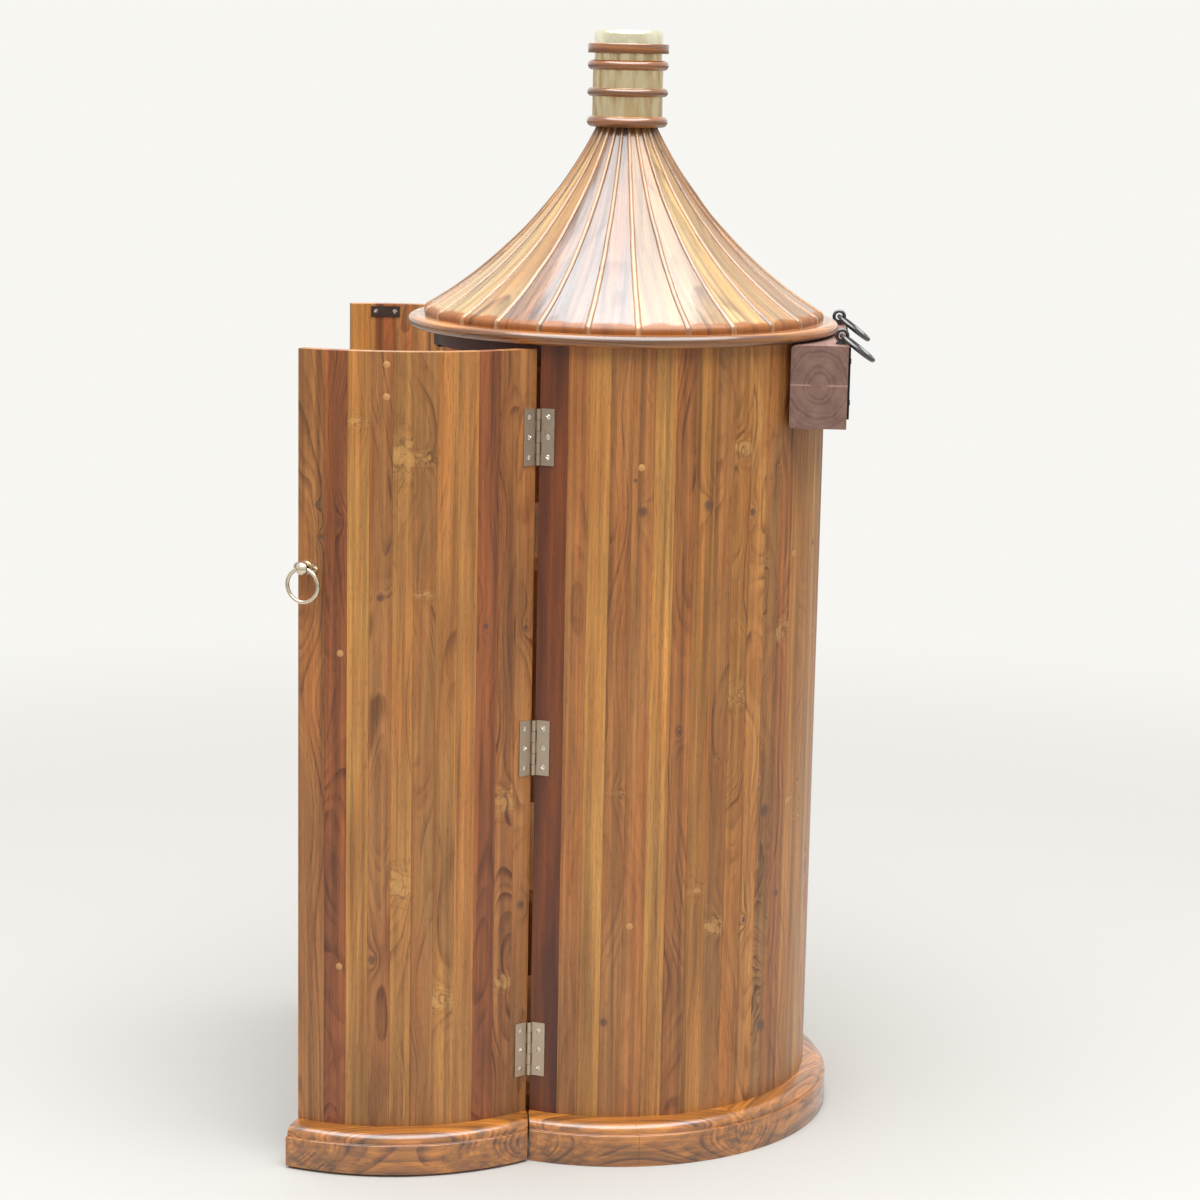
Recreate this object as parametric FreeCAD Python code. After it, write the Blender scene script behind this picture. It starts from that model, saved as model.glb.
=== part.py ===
"""Bottle-shaped bar cabinet: a round staved body with two curved doors under a ribbed, flared roof and neck.

Millimetres, +Z up. The origin is on the body's axis at floor level, and the doors' meeting line faces -Y.
A bearing is an angle in degrees about the axis, from -Y at the front towards +X on the right.
The doors are drawn shut and then swung to the angles at which they stand in the photograph.
"""
import FreeCAD, Part
import math
import os

os.makedirs("parts", exist_ok=True)

# Round body
body_radius = 285.0
wall_thickness = 18.0
body_height = 1119.3
hinge_stile_angle = 8.0
wall_stave_count = 36

# Doors
door_angle = 67.0
door_side_gap = 0.6
door_top_gap = 6.0
door_floor_gap = 3.0
door_seat_gap = 2.0
door_stave_width_shares = (5.9, 5.8, 6.1, 5.7, 5.8, 6.0, 5.6, 6.1, 6.0, 6.2, 7.8)
right_door_open_angle = 65.0
right_door_stop_angle = 67.0
left_door_open_angle = 76.0
left_door_stop_angle = 78.0

# Plinth moulding round the foot
plinth_projection = 33.0
plinth_face_height = 44.0
plinth_height = 60.0
plinth_arris = 1.5
plinth_lip = 4.5
plinth_step = 2.0
plinth_ovolo_width = 14.5
plinth_ovolo_height = 12.0
plinth_ledge_width = 3.0
plinth_segment_count = 8
plinth_wall_mitre_angle = 27.5

# Boards, shelves and racks
board_thickness = 18.0
bottom_board_top = 92.0
lower_shelf_top = 368.0
upper_shelf_top = 831.0
top_board_thickness = 22.0
bearer_width = 40.0
bearer_pitch = 160.0
bearer_count = 3
cleat_size = 14.0
cleat_length = 60.0
cleat_angles = (100.0, 180.0, 260.0)
bottle_rail_thickness = 20.0
bottle_rail_height = 50.0
bottle_rail_top = 220.0
bottle_rail_offset = 90.0
bottle_scallop_radius = 38.0
bottle_scallop_rise = 8.0
bottle_pitch = 92.0
bottle_count = 5
glass_rail_count = 4
glass_rail_pitch = 70.0
glass_rail_length = 380.0
glass_hanger_width = 16.0
glass_hanger_height = 22.0
glass_runner_width = 40.0
glass_runner_thickness = 8.0

# Catches at the top of the doors
catch_width = 44.0
catch_height = 16.0
catch_depth = 10.0
catch_drop = 3.3
catch_from_meeting_line = 52.0
strike_thickness = 1.5

# Butt hinges on the outer faces
hinge_length = 76.0
low_hinge_height = 150.0
middle_hinge_height = 575.0
high_hinge_height = 997.0
leaf_width = 22.0
leaf_thickness = 1.8
knuckle_radius = 3.2
knuckle_wall_gap = 0.4
knuckle_count = 5
knuckle_end_gap = 0.15
knuckle_side_gap = 0.4
pin_radius = 1.6
pin_clearance = 0.05

# Ring pulls on the doors
pull_height = 825.0
right_pull_from_meeting_line = 13.0
left_pull_from_meeting_line = 42.0
pull_plate_radius = 9.5
pull_lobe_radius = 6.0
pull_lobe_offset = 11.5
pull_plate_thickness = 2.5
pull_ball_radius = 9.0
pull_ball_standoff = 8.5
pull_stem_radius = 4.0
pull_bore_radius = 4.4
pull_ring_radius = 22.5
pull_wire_radius = 2.6

# Beam across the back, with its plate, eyebolts and rings
beam_bearing_angle = 176.0
beam_length = 354.0
beam_thickness = 77.0
beam_height = 112.0
beam_standoff = 28.5
beam_top_gap = 2.0
beam_corner_radius = 6.0
beam_plate_thickness = 3.0
beam_plate_height = 96.0
beam_plate_drop = 2.0
eye_offset = 142.5
eye_back_distance = 9.1
eye_height = 11.5
eye_radius = 7.5
eye_wire_radius = 2.4
eye_shank_radius = 3.0
eye_shank_depth = 45.0
eye_bore_clearance = 0.05
eye_collar_radius = 8.0
eye_collar_thickness = 3.0
beam_ring_radius = 26.5
beam_ring_wire_radius = 3.2
beam_ring_droop_angle = 37.0

# Brim and ribbed roof
brim_overhang = 16.0
brim_thickness = 15.7
roof_foot_setback = 5.0
roof_foot_height = 10.5
roof_shoulder_radius = 9.0
roof_top_radius = 42.2
roof_height = 261.5
roof_sag = 25.0
roof_panel_thickness = 16.0
roof_panel_count = 26
roof_first_rib_angle = -3.4
rib_height = 3.4
rib_foot_width = 9.6
rib_top_width = 5.4

# Neck
neck_core_radius = 44.0
neck_tenon_radius = 30.0
neck_tenon_length = 60.0
neck_ring_radius = 56.0
neck_band_radius = 48.6
neck_small_band_radius = 46.5
lowest_ring_height = 15.1
lower_band_height = 26.5
lower_ring_height = 12.0
middle_band_height = 23.9
upper_ring_height = 13.7
upper_band_height = 9.1
top_ring_height = 13.4
top_ring_arris = 1.2
cap_radius = 47.6
cap_height = 18.5
cap_shoulder_radius = 6.5
cap_wall = 2.5

# How far cutting tools run past what they cut
overrun = 20.0
tenon_overrun = 1.0

Z_AXIS = FreeCAD.Vector(0, 0, 1)
X_AXIS = FreeCAD.Vector(1, 0, 0)
Y_AXIS = FreeCAD.Vector(0, 1, 0)
ORIGIN = FreeCAD.Vector(0, 0, 0)
FULL_TURN = 360.0
HALF_TURN = 180.0
QUARTER_TURN = 90.0

# Sizes that follow from the ones above
wall_inner_radius = body_radius - wall_thickness
plinth_radius = body_radius + plinth_projection
brim_radius = body_radius + brim_overhang
roof_foot_radius = body_radius - roof_foot_setback
beam_back = body_radius + beam_standoff
board_front_radius = wall_inner_radius - door_seat_gap
door_top = body_height - door_top_gap
pin_circle_radius = body_radius + knuckle_wall_gap + knuckle_radius
top_board_bottom = body_height - top_board_thickness
hinge_centres = (low_hinge_height, middle_hinge_height, high_hinge_height)
brim_top = body_height + brim_thickness
roof_top = brim_top + roof_height
beam_top = body_height - beam_top_gap
pull_ball_radius_from_axis = body_radius + pull_plate_thickness + pull_ball_standoff


def arc_degrees(length, radius):
    """Bearing span of an arc of the given length."""
    return math.degrees(length / radius)


def polar(radius, bearing, height=0.0):
    """Point at a radius, bearing and height."""
    angle = math.radians(bearing)
    return FreeCAD.Vector(radius * math.sin(angle), -radius * math.cos(angle), height)


def profile_point(point):
    """Point of a (radius, height) outline, in the half plane at bearing 0."""
    radius, height = point
    return FreeCAD.Vector(0, -radius, height)


def line(start, end):
    """Straight edge between two (radius, height) points."""
    return Part.LineSegment(profile_point(start), profile_point(end)).toShape()


def arc(start, middle, end):
    """Round edge through three (radius, height) points."""
    return Part.Arc(profile_point(start), profile_point(middle), profile_point(end)).toShape()


def face_of(edges):
    """Flat face inside a closed chain of edges."""
    return Part.Face(Part.Wire(Part.sortEdges(edges)[0]))


def turned(edges, start=0.0, sweep=FULL_TURN):
    """Solid made by turning an outline about the axis, from a bearing on through a sweep."""
    solid = face_of(edges).revolve(ORIGIN, Z_AXIS, sweep)
    solid.rotate(ORIGIN, Z_AXIS, start)
    return solid


def polygon_edges(points):
    """Straight edges round a closed outline of (radius, height) points."""
    return [line(a, b) for a, b in zip(points, points[1:] + points[:1])]


def ring_sector(inner, outer, bottom, top, start, sweep):
    """Piece of a plain ring with a rectangular section."""
    corners = [(inner, bottom), (outer, bottom), (outer, top), (inner, top)]
    return turned(polygon_edges(corners), start, sweep)


def prism(points, bottom, top):
    """Upright block over a closed plan outline."""
    base = [FreeCAD.Vector(p.x, p.y, bottom) for p in points]
    wire = Part.makePolygon(base + base[:1])
    return Part.Face(wire).extrude(FreeCAD.Vector(0, 0, top - bottom))


def upright(radius, bottom, top, centre=ORIGIN):
    """Upright cylinder."""
    foot = FreeCAD.Vector(centre.x, centre.y, bottom)
    return Part.makeCylinder(radius, top - bottom, foot, Z_AXIS)


def on_bearing(shape, bearing):
    """Copy of a shape turned about the axis by a bearing."""
    turned_copy = shape.copy()
    turned_copy.rotate(ORIGIN, Z_AXIS, bearing)
    return turned_copy


def mirrored(shape, side):
    """The shape itself on the right side, its mirror image on the left."""
    return shape if side > 0 else shape.mirror(ORIGIN, X_AXIS)


def save(name, solids):
    """Write one node: a single solid, or a group of separate ones."""
    shape = solids[0] if len(solids) == 1 else Part.makeCompound(solids)
    shape.exportStep("parts/" + name + ".step")


def staves(start, widths, bottom, top):
    """Row of staves side by side, each a sector of the wall."""
    row = []
    bearing = start
    for width in widths:
        row.append(ring_sector(wall_inner_radius, body_radius, bottom, top, bearing, width))
        bearing += width
    return row


def wall_staves():
    """Staves of the fixed wall between the two hinge stiles."""
    start = door_angle + hinge_stile_angle
    width = (FULL_TURN - 2 * start) / wall_stave_count
    return staves(start, [width] * wall_stave_count, 0, body_height)


def hinge_stiles():
    """Hardwood stiles that end the fixed wall and carry the hinges."""
    gap = arc_degrees(door_side_gap, body_radius)
    width = hinge_stile_angle - gap
    right = ring_sector(wall_inner_radius, body_radius, 0, body_height, door_angle + gap, width)
    return [right, mirrored(right, -1)]


def door_staves():
    """Staves of the right door, shut, from the hinge edge to the meeting edge."""
    gap = arc_degrees(door_side_gap, body_radius)
    span = door_angle - 2 * gap
    total = sum(door_stave_width_shares)
    widths = [span * share / total for share in reversed(door_stave_width_shares)]
    return staves(gap, widths, door_floor_gap, door_top)


def plinth_outline(bottom):
    """Section of the plinth moulding: face, lip, ovolo and ledge."""
    ovolo_foot = plinth_radius - plinth_lip
    ovolo_base = plinth_face_height + plinth_step
    ovolo_head = ovolo_foot - plinth_ovolo_width
    ovolo_top = ovolo_base + plinth_ovolo_height
    diagonal = math.sqrt(0.5)
    ovolo_middle = (ovolo_head + plinth_ovolo_width * diagonal, ovolo_base + plinth_ovolo_height * diagonal)
    ledge = ovolo_head - plinth_ledge_width
    before = [
        (body_radius, plinth_height), (body_radius, bottom), (plinth_radius, bottom),
        (plinth_radius, plinth_face_height - plinth_arris), (plinth_radius - plinth_arris, plinth_face_height),
        (ovolo_foot, plinth_face_height), (ovolo_foot, ovolo_base),
    ]
    edges = [line(a, b) for a, b in zip(before, before[1:])]
    edges.append(arc((ovolo_foot, ovolo_base), ovolo_middle, (ovolo_head, ovolo_top)))
    edges.append(line((ovolo_head, ovolo_top), (ledge, ovolo_top)))
    edges.append(line((ledge, ovolo_top), (body_radius, plinth_height)))
    return edges


def hinge_frame():
    """Right pin's foot, the direction along the wall away from the door, and the direction outwards."""
    return polar(pin_circle_radius, door_angle), polar(1, door_angle + QUARTER_TURN), polar(1, door_angle)


def mitre_cutter(mitre, away):
    """Block that trims a plinth end, straight inside the pin and mitred outside it."""
    pin, along, out = hinge_frame()
    reach = plinth_radius - pin_circle_radius + overrun
    depth = pin_circle_radius - body_radius + overrun
    lean = reach * math.tan(math.radians(mitre))
    plan = [
        (door_side_gap, -depth), (door_side_gap, 0), (door_side_gap + lean, reach),
        (-reach, reach), (-reach, -depth),
    ]
    points = [pin + along * (u * away) + out * v for u, v in plan]
    return prism(points, -overrun, plinth_height + overrun)


def plinth_segments():
    """Fixed plinth, in mitred segments round the wall."""
    start = door_angle
    width = (FULL_TURN - 2 * start) / plinth_segment_count
    cutter = mitre_cutter(plinth_wall_mitre_angle, 1)
    segments = []
    for index in range(plinth_segment_count):
        piece = turned(plinth_outline(0), start + index * width, width)
        if index == 0:
            piece = piece.cut(cutter)
        if index == plinth_segment_count - 1:
            piece = piece.cut(mirrored(cutter, -1))
        segments.append(piece.Solids[0])
    return segments


def door_plinth(stop):
    """Plinth of the right door, shut. Its mitre meets the fixed one when the door reaches its stop."""
    gap = arc_degrees(door_side_gap, body_radius)
    piece = turned(plinth_outline(door_floor_gap), gap, door_angle - gap)
    return piece.cut(mitre_cutter(stop - plinth_wall_mitre_angle, -1)).Solids[0]


def fitted_board(bottom, thickness):
    """Board that fits the wall behind and clears the shut doors in front."""
    def edge_point(radius, bearing):
        return polar(radius, bearing, bottom)
    rear = Part.Arc(edge_point(wall_inner_radius, door_angle), edge_point(wall_inner_radius, HALF_TURN),
                    edge_point(wall_inner_radius, FULL_TURN - door_angle)).toShape()
    front = Part.Arc(edge_point(board_front_radius, -door_angle), edge_point(board_front_radius, 0),
                     edge_point(board_front_radius, door_angle)).toShape()
    sides = [
        Part.LineSegment(edge_point(wall_inner_radius, side), edge_point(board_front_radius, side)).toShape()
        for side in (door_angle, -door_angle)
    ]
    return face_of([rear, front] + sides).extrude(FreeCAD.Vector(0, 0, thickness))


def base_bearers():
    """Bearers that carry the bottom board and stand on the floor."""
    height = bottom_board_top - board_thickness
    outline = fitted_board(0, height)
    bars = []
    for index in range(bearer_count):
        middle = (index - (bearer_count - 1) / 2) * bearer_pitch
        corner = FreeCAD.Vector(middle - bearer_width / 2, -body_radius, 0)
        bar = Part.makeBox(bearer_width, 2 * body_radius, height, corner)
        bars.append(bar.common(outline).Solids[0])
    return bars


def shelf_cleats():
    """Blocks on the wall under the two shelves."""
    span = arc_degrees(cleat_length, wall_inner_radius)
    cleats = []
    for shelf_top in (lower_shelf_top, upper_shelf_top):
        top = shelf_top - board_thickness
        for bearing in cleat_angles:
            inner = wall_inner_radius - cleat_size
            cleats.append(ring_sector(inner, wall_inner_radius, top - cleat_size, top, bearing - span / 2, span))
    return cleats


def bottle_rails():
    """Front and rear scalloped rails on which bottles lie."""
    outline = upright(wall_inner_radius, bottle_rail_top - bottle_rail_height, bottle_rail_top)
    rails = []
    for side in (-1, 1):
        face = side * bottle_rail_offset - bottle_rail_thickness / 2
        corner = FreeCAD.Vector(-body_radius, face, bottle_rail_top - bottle_rail_height)
        rail = Part.makeBox(2 * body_radius, bottle_rail_thickness, bottle_rail_height, corner).common(outline)
        for index in range(bottle_count):
            x = (index - (bottle_count - 1) / 2) * bottle_pitch
            start = FreeCAD.Vector(x, face - overrun, bottle_rail_top + bottle_scallop_rise)
            bottle = Part.makeCylinder(bottle_scallop_radius, bottle_rail_thickness + 2 * overrun, start, Y_AXIS)
            rail = rail.cut(bottle)
        rails.append(rail.Solids[0])
    return rails


def glass_rails(width, bottom, top):
    """Parallel bars under the top board, running from front to back."""
    bars = []
    for index in range(glass_rail_count):
        middle = (index - (glass_rail_count - 1) / 2) * glass_rail_pitch
        corner = FreeCAD.Vector(middle - width / 2, -glass_rail_length / 2, bottom)
        bars.append(Part.makeBox(width, glass_rail_length, top - bottom, corner))
    return bars


def catch_band(inner, outer):
    """Curved block at the right-hand catch, at the height of the catches."""
    top = door_top - catch_drop
    span = arc_degrees(catch_width, wall_inner_radius)
    middle = arc_degrees(catch_from_meeting_line, wall_inner_radius)
    return ring_sector(inner, outer, top - catch_height, top, middle - span / 2, span)


def catch_magnets():
    """Magnets let into the front edge of the top board."""
    right = catch_band(board_front_radius - catch_depth, board_front_radius)
    return [right, mirrored(right, -1)]


def top_board():
    """Board under the brim, with pockets for the catches."""
    board = fitted_board(top_board_bottom, top_board_thickness)
    for magnet in catch_magnets():
        board = board.cut(magnet)
    return board.Solids[0]


def strike_plate():
    """Steel plate inside the right door, shut, that meets the magnet."""
    return catch_band(wall_inner_radius - strike_thickness, wall_inner_radius)


def knuckle_levels(centre):
    """Lowest and highest level of each knuckle of one hinge."""
    height = hinge_length / knuckle_count
    foot = centre - hinge_length / 2
    return [(foot + index * height, foot + (index + 1) * height) for index in range(knuckle_count)]


def hinge_leaf(centre, toward_door):
    """Leaf of a right-hand hinge with its knuckles: the even ones on the wall, the odd ones on the door."""
    pin, along, out = hinge_frame()
    first = 1 if toward_door else 0
    clear = arc_degrees(knuckle_radius + knuckle_side_gap, body_radius)
    full = arc_degrees(leaf_width, body_radius)
    outer = body_radius + leaf_thickness
    foot = centre - hinge_length / 2
    start = door_angle - full if toward_door else door_angle + clear
    leaf = ring_sector(body_radius, outer, foot, foot + hinge_length, start, full - clear)
    tab_start = door_angle - clear if toward_door else door_angle
    for bottom, top in knuckle_levels(centre)[first::2]:
        low = bottom + knuckle_end_gap
        high = top - knuckle_end_gap
        tab = ring_sector(body_radius, outer, low, high, tab_start, clear)
        leaf = leaf.fuse([tab, upright(knuckle_radius, low, high, pin)])
    bore = upright(pin_radius + pin_clearance, foot - overrun, foot + hinge_length + overrun, pin)
    return leaf.removeSplitter().cut(bore).Solids[0]


def hinge_pin(centre):
    """Pin of a right-hand hinge, flush with the ends of its barrel."""
    pin, along, out = hinge_frame()
    return upright(pin_radius, centre - hinge_length / 2, centre + hinge_length / 2, pin)


def outward(shape, bearing, radius, height):
    """Shape drawn along +Z, turned to point outwards and set at a place on the body."""
    placed = shape.copy()
    placed.rotate(ORIGIN, X_AXIS, QUARTER_TURN)
    placed.translate(FreeCAD.Vector(0, -radius, height))
    placed.rotate(ORIGIN, Z_AXIS, bearing)
    return placed


def pull_plate(bearing):
    """Three-lobed plate under the ring pull."""
    plate = Part.makeCylinder(pull_plate_radius, pull_plate_thickness)
    for side in (-1, 1):
        centre = FreeCAD.Vector(side * pull_lobe_offset, 0, 0)
        plate = plate.fuse(Part.makeCylinder(pull_lobe_radius, pull_plate_thickness, centre))
    return outward(plate.removeSplitter().Solids[0], bearing, body_radius, pull_height)


def pull_boss(bearing):
    """Ball on a stem, bored across for the ring."""
    ball = Part.makeSphere(pull_ball_radius, FreeCAD.Vector(0, 0, pull_ball_standoff))
    boss = ball.fuse(Part.makeCylinder(pull_stem_radius, pull_ball_standoff)).removeSplitter()
    boss = boss.common(Part.makeCylinder(pull_ball_radius + overrun, pull_ball_standoff + overrun))
    start = FreeCAD.Vector(-overrun, 0, pull_ball_standoff)
    boss = boss.cut(Part.makeCylinder(pull_bore_radius, 2 * overrun, start, X_AXIS)).Solids[0]
    return outward(boss, bearing, body_radius + pull_plate_thickness, pull_height)


def pull_ring(bearing):
    """Ring that hangs in the ball of the pull."""
    ring = Part.makeTorus(pull_ring_radius, pull_wire_radius)
    return outward(ring, bearing, pull_ball_radius_from_axis, pull_height - pull_ring_radius)


def beam_placed(shape):
    """Shape drawn for a beam straight behind (+Y), turned to the beam's own bearing."""
    return on_bearing(shape, beam_bearing_angle - HALF_TURN)


def beam_outline_block():
    """Beam before it is coped, with the two long edges next to the wall rounded."""
    corner = FreeCAD.Vector(-beam_length / 2, beam_back - beam_thickness, beam_top - beam_height)
    block = Part.makeBox(beam_length, beam_thickness, beam_height, corner)
    front = block.BoundBox.YMin
    wall_edges = [edge for edge in block.Edges if edge.BoundBox.XLength > beam_thickness]
    wall_edges = [edge for edge in wall_edges if edge.BoundBox.YMax < front + beam_corner_radius]
    return block.makeFillet(beam_corner_radius, wall_edges)


def eye_places():
    """Centres of the two eyes, for a beam straight behind."""
    y = beam_back - eye_back_distance
    return [FreeCAD.Vector(side * eye_offset, y, beam_top + eye_height) for side in (-1, 1)]


def rear_beam():
    """Beam coped to the round wall and bored for the eyebolts."""
    beam = beam_outline_block().cut(upright(body_radius, 0, body_height))
    for eye in eye_places():
        bore = upright(eye_shank_radius + eye_bore_clearance, beam_top - eye_shank_depth, beam_top + overrun, eye)
        beam = beam.cut(bore)
    return beam_placed(beam.Solids[0])


def beam_plate():
    """Steel plate on the back of the beam."""
    top = beam_top - beam_plate_drop
    corner = FreeCAD.Vector(-beam_length / 2, beam_back, top - beam_plate_height)
    return beam_placed(Part.makeBox(beam_length, beam_plate_thickness, beam_plate_height, corner))


def eyebolt(eye):
    """Eyebolt with its shank in the beam, its hole facing along the beam."""
    loop = Part.makeTorus(eye_radius, eye_wire_radius, eye, X_AXIS)
    shank = upright(eye_shank_radius, beam_top - eye_shank_depth, beam_top + eye_height - eye_radius, eye)
    collar = upright(eye_collar_radius, beam_top, beam_top + eye_collar_thickness, eye)
    return beam_placed(loop.fuse([shank, collar]).removeSplitter().Solids[0])


def beam_ring(eye):
    """Loose ring in an eye, leaning on the back edge of the beam."""
    centre = FreeCAD.Vector(eye.x, eye.y + beam_ring_radius, eye.z)
    ring = Part.makeTorus(beam_ring_radius, beam_ring_wire_radius, centre, Z_AXIS)
    ring.rotate(eye, X_AXIS, -beam_ring_droop_angle)
    return beam_placed(ring)


def brim():
    """Round board with a half-round edge under the roof."""
    radius = brim_thickness / 2
    straight = brim_radius - radius
    edges = [
        line((0, brim_top), (0, body_height)), line((0, body_height), (straight, body_height)),
        arc((straight, body_height), (brim_radius, body_height + radius), (straight, brim_top)),
        line((straight, brim_top), (0, brim_top)),
    ]
    return turned(edges)


class RoofCurve:
    """The roof's flare, one large arc from the shoulder up to the neck, and curves at a depth under it."""

    def __init__(self):
        foot = (roof_foot_radius, brim_top + roof_foot_height)
        top = (roof_top_radius, roof_top)
        run, rise = top[0] - foot[0], top[1] - foot[1]
        chord = math.hypot(run, rise)
        inward = (-rise / chord, run / chord)
        self.radius = (chord ** 2 / 4 + roof_sag ** 2) / (2 * roof_sag)
        back = roof_sag - self.radius
        self.centre = ((foot[0] + top[0]) / 2 + inward[0] * back, (foot[1] + top[1]) / 2 + inward[1] * back)

    def point(self, depth, direction):
        """Point on the curve at a depth, in a direction from the arc's centre."""
        radius = self.radius + depth
        return (self.centre[0] + radius * math.cos(direction), self.centre[1] + radius * math.sin(direction))

    def at_height(self, depth, height):
        """Direction from the arc's centre to where the curve at a depth reaches a height."""
        return -math.pi - math.asin((height - self.centre[1]) / (self.radius + depth))

    def outline(self, outer_depth, inner_depth, bottom):
        """Closed outline from the rounded shoulder to the neck, between two depths."""
        foot_radius = roof_foot_radius - outer_depth
        reach = self.radius + outer_depth + roof_shoulder_radius
        shoulder_r = foot_radius - roof_shoulder_radius
        shoulder_z = self.centre[1] - math.sqrt(reach ** 2 - (shoulder_r - self.centre[0]) ** 2)
        tangent = math.atan2(shoulder_z - self.centre[1], shoulder_r - self.centre[0])
        turn = (tangent + math.pi) / 2
        shoulder_middle = (
            shoulder_r + roof_shoulder_radius * math.cos(turn), shoulder_z + roof_shoulder_radius * math.sin(turn),
        )
        top_out = self.at_height(outer_depth, roof_top)
        top_in = self.at_height(inner_depth, roof_top)
        foot_in = self.at_height(inner_depth, bottom)
        flare_start = self.point(outer_depth, tangent)
        flare_middle = self.point(outer_depth, (tangent + top_out) / 2)
        inner_middle = self.point(inner_depth, (foot_in + top_in) / 2)
        outer_top, inner_top = self.point(outer_depth, top_out), self.point(inner_depth, top_in)
        inner_foot = self.point(inner_depth, foot_in)
        return [
            line((foot_radius, bottom), (foot_radius, shoulder_z)),
            arc((foot_radius, shoulder_z), shoulder_middle, flare_start),
            arc(flare_start, flare_middle, outer_top),
            line(outer_top, inner_top),
            arc(inner_top, inner_middle, inner_foot),
            line(inner_foot, (foot_radius, bottom)),
        ]


def rib_edge(radius, bearing, side):
    """Point in plan on one edge of the rib at a bearing. Ribs narrow towards the neck."""
    share = (radius - roof_top_radius) / (roof_foot_radius - roof_top_radius)
    half_width = (rib_top_width + (rib_foot_width - rib_top_width) * share) / 2
    return polar(radius, bearing) + polar(half_width * side, bearing + QUARTER_TURN)


def roof_strip(curve, depth, half_pitch, side):
    """Flared board at bearing 0 under a depth, trimmed to the edges of the ribs at half a pitch either way."""
    near = neck_tenon_radius - tenon_overrun
    far = roof_foot_radius + overrun
    plan = [
        rib_edge(near, half_pitch, side), rib_edge(far, half_pitch, side),
        rib_edge(far, -half_pitch, -side), rib_edge(near, -half_pitch, -side),
    ]
    face = face_of(curve.outline(depth, rib_height + roof_panel_thickness, brim_top))
    face.translate(FreeCAD.Vector(-roof_foot_radius, 0, 0))
    board = face.extrude(FreeCAD.Vector(2 * roof_foot_radius, 0, 0)).common(prism(plan, brim_top, roof_top))
    return board.cut(upright(neck_tenon_radius, brim_top, roof_top + overrun)).Solids[0]


def roof_panels(curve):
    """All panels of the roof, each between two ribs."""
    pitch = FULL_TURN / roof_panel_count
    panel = roof_strip(curve, rib_height, pitch / 2, -1)
    return [on_bearing(panel, roof_first_rib_angle + (index + 0.5) * pitch) for index in range(roof_panel_count)]


def roof_ribs(curve):
    """All ribs of the roof, each standing proud of the joint between two panels."""
    pitch = FULL_TURN / roof_panel_count
    rib = roof_strip(curve, 0, 0, 1)
    return [on_bearing(rib, roof_first_rib_angle + index * pitch) for index in range(roof_panel_count)]


def neck_levels():
    """Foot level of every ring and band of the neck, from the roof up, and the level of the cap."""
    levels = [roof_top]
    for height in (lowest_ring_height, lower_band_height, lower_ring_height, middle_band_height,
                   upper_ring_height, upper_band_height, top_ring_height):
        levels.append(levels[-1] + height)
    return levels


def neck_core():
    """Turned core that ties the roof, the bands and the rings together."""
    top = neck_levels()[-1] + cap_height - cap_wall
    bottom = roof_top - neck_tenon_length
    corners = [
        (0, bottom), (neck_tenon_radius, bottom), (neck_tenon_radius, roof_top),
        (neck_core_radius, roof_top), (neck_core_radius, top), (0, top),
    ]
    return turned(polygon_edges(corners))


def bead_ring(bottom, height):
    """Wooden ring of the neck with a half-round edge."""
    radius = height / 2
    straight = neck_ring_radius - radius
    top = bottom + height
    edges = [
        line((neck_core_radius, top), (neck_core_radius, bottom)), line((neck_core_radius, bottom), (straight, bottom)),
        arc((straight, bottom), (neck_ring_radius, bottom + radius), (straight, top)),
        line((straight, top), (neck_core_radius, top)),
    ]
    return turned(edges)


def flat_ring(bottom, height):
    """Topmost wooden ring, square in section with its corners broken."""
    top = bottom + height
    eased = neck_ring_radius - top_ring_arris
    corners = [
        (neck_core_radius, bottom), (eased, bottom), (neck_ring_radius, bottom + top_ring_arris),
        (neck_ring_radius, top - top_ring_arris), (eased, top), (neck_core_radius, top),
    ]
    return turned(polygon_edges(corners))


def band(radius, bottom, height):
    """Brass sleeve between two rings."""
    return ring_sector(neck_core_radius, radius, bottom, bottom + height, 0, FULL_TURN)


def neck_cap(bottom):
    """Brass cup with a rounded shoulder over the top of the core."""
    top = bottom + cap_height
    turn = cap_shoulder_radius * math.sqrt(0.5)
    shoulder = (cap_radius - cap_shoulder_radius, top - cap_shoulder_radius)
    edges = [
        line((neck_core_radius, bottom), (cap_radius, bottom)), line((cap_radius, bottom), (cap_radius, shoulder[1])),
        arc((cap_radius, shoulder[1]), (shoulder[0] + turn, shoulder[1] + turn), (shoulder[0], top)),
        line((shoulder[0], top), (0, top)), line((0, top), (0, top - cap_wall)),
        line((0, top - cap_wall), (neck_core_radius, top - cap_wall)),
        line((neck_core_radius, top - cap_wall), (neck_core_radius, bottom)),
    ]
    return turned(edges)


def swung(shapes, side, opening):
    """Shapes of the right door, put on their side and swung open about their pin."""
    pin, along, out = hinge_frame()
    placed = []
    for shape in shapes:
        copy = mirrored(shape.copy(), side)
        copy.rotate(FreeCAD.Vector(pin.x * side, pin.y, 0), Z_AXIS, opening * side)
        placed.append(copy)
    return placed


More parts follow.
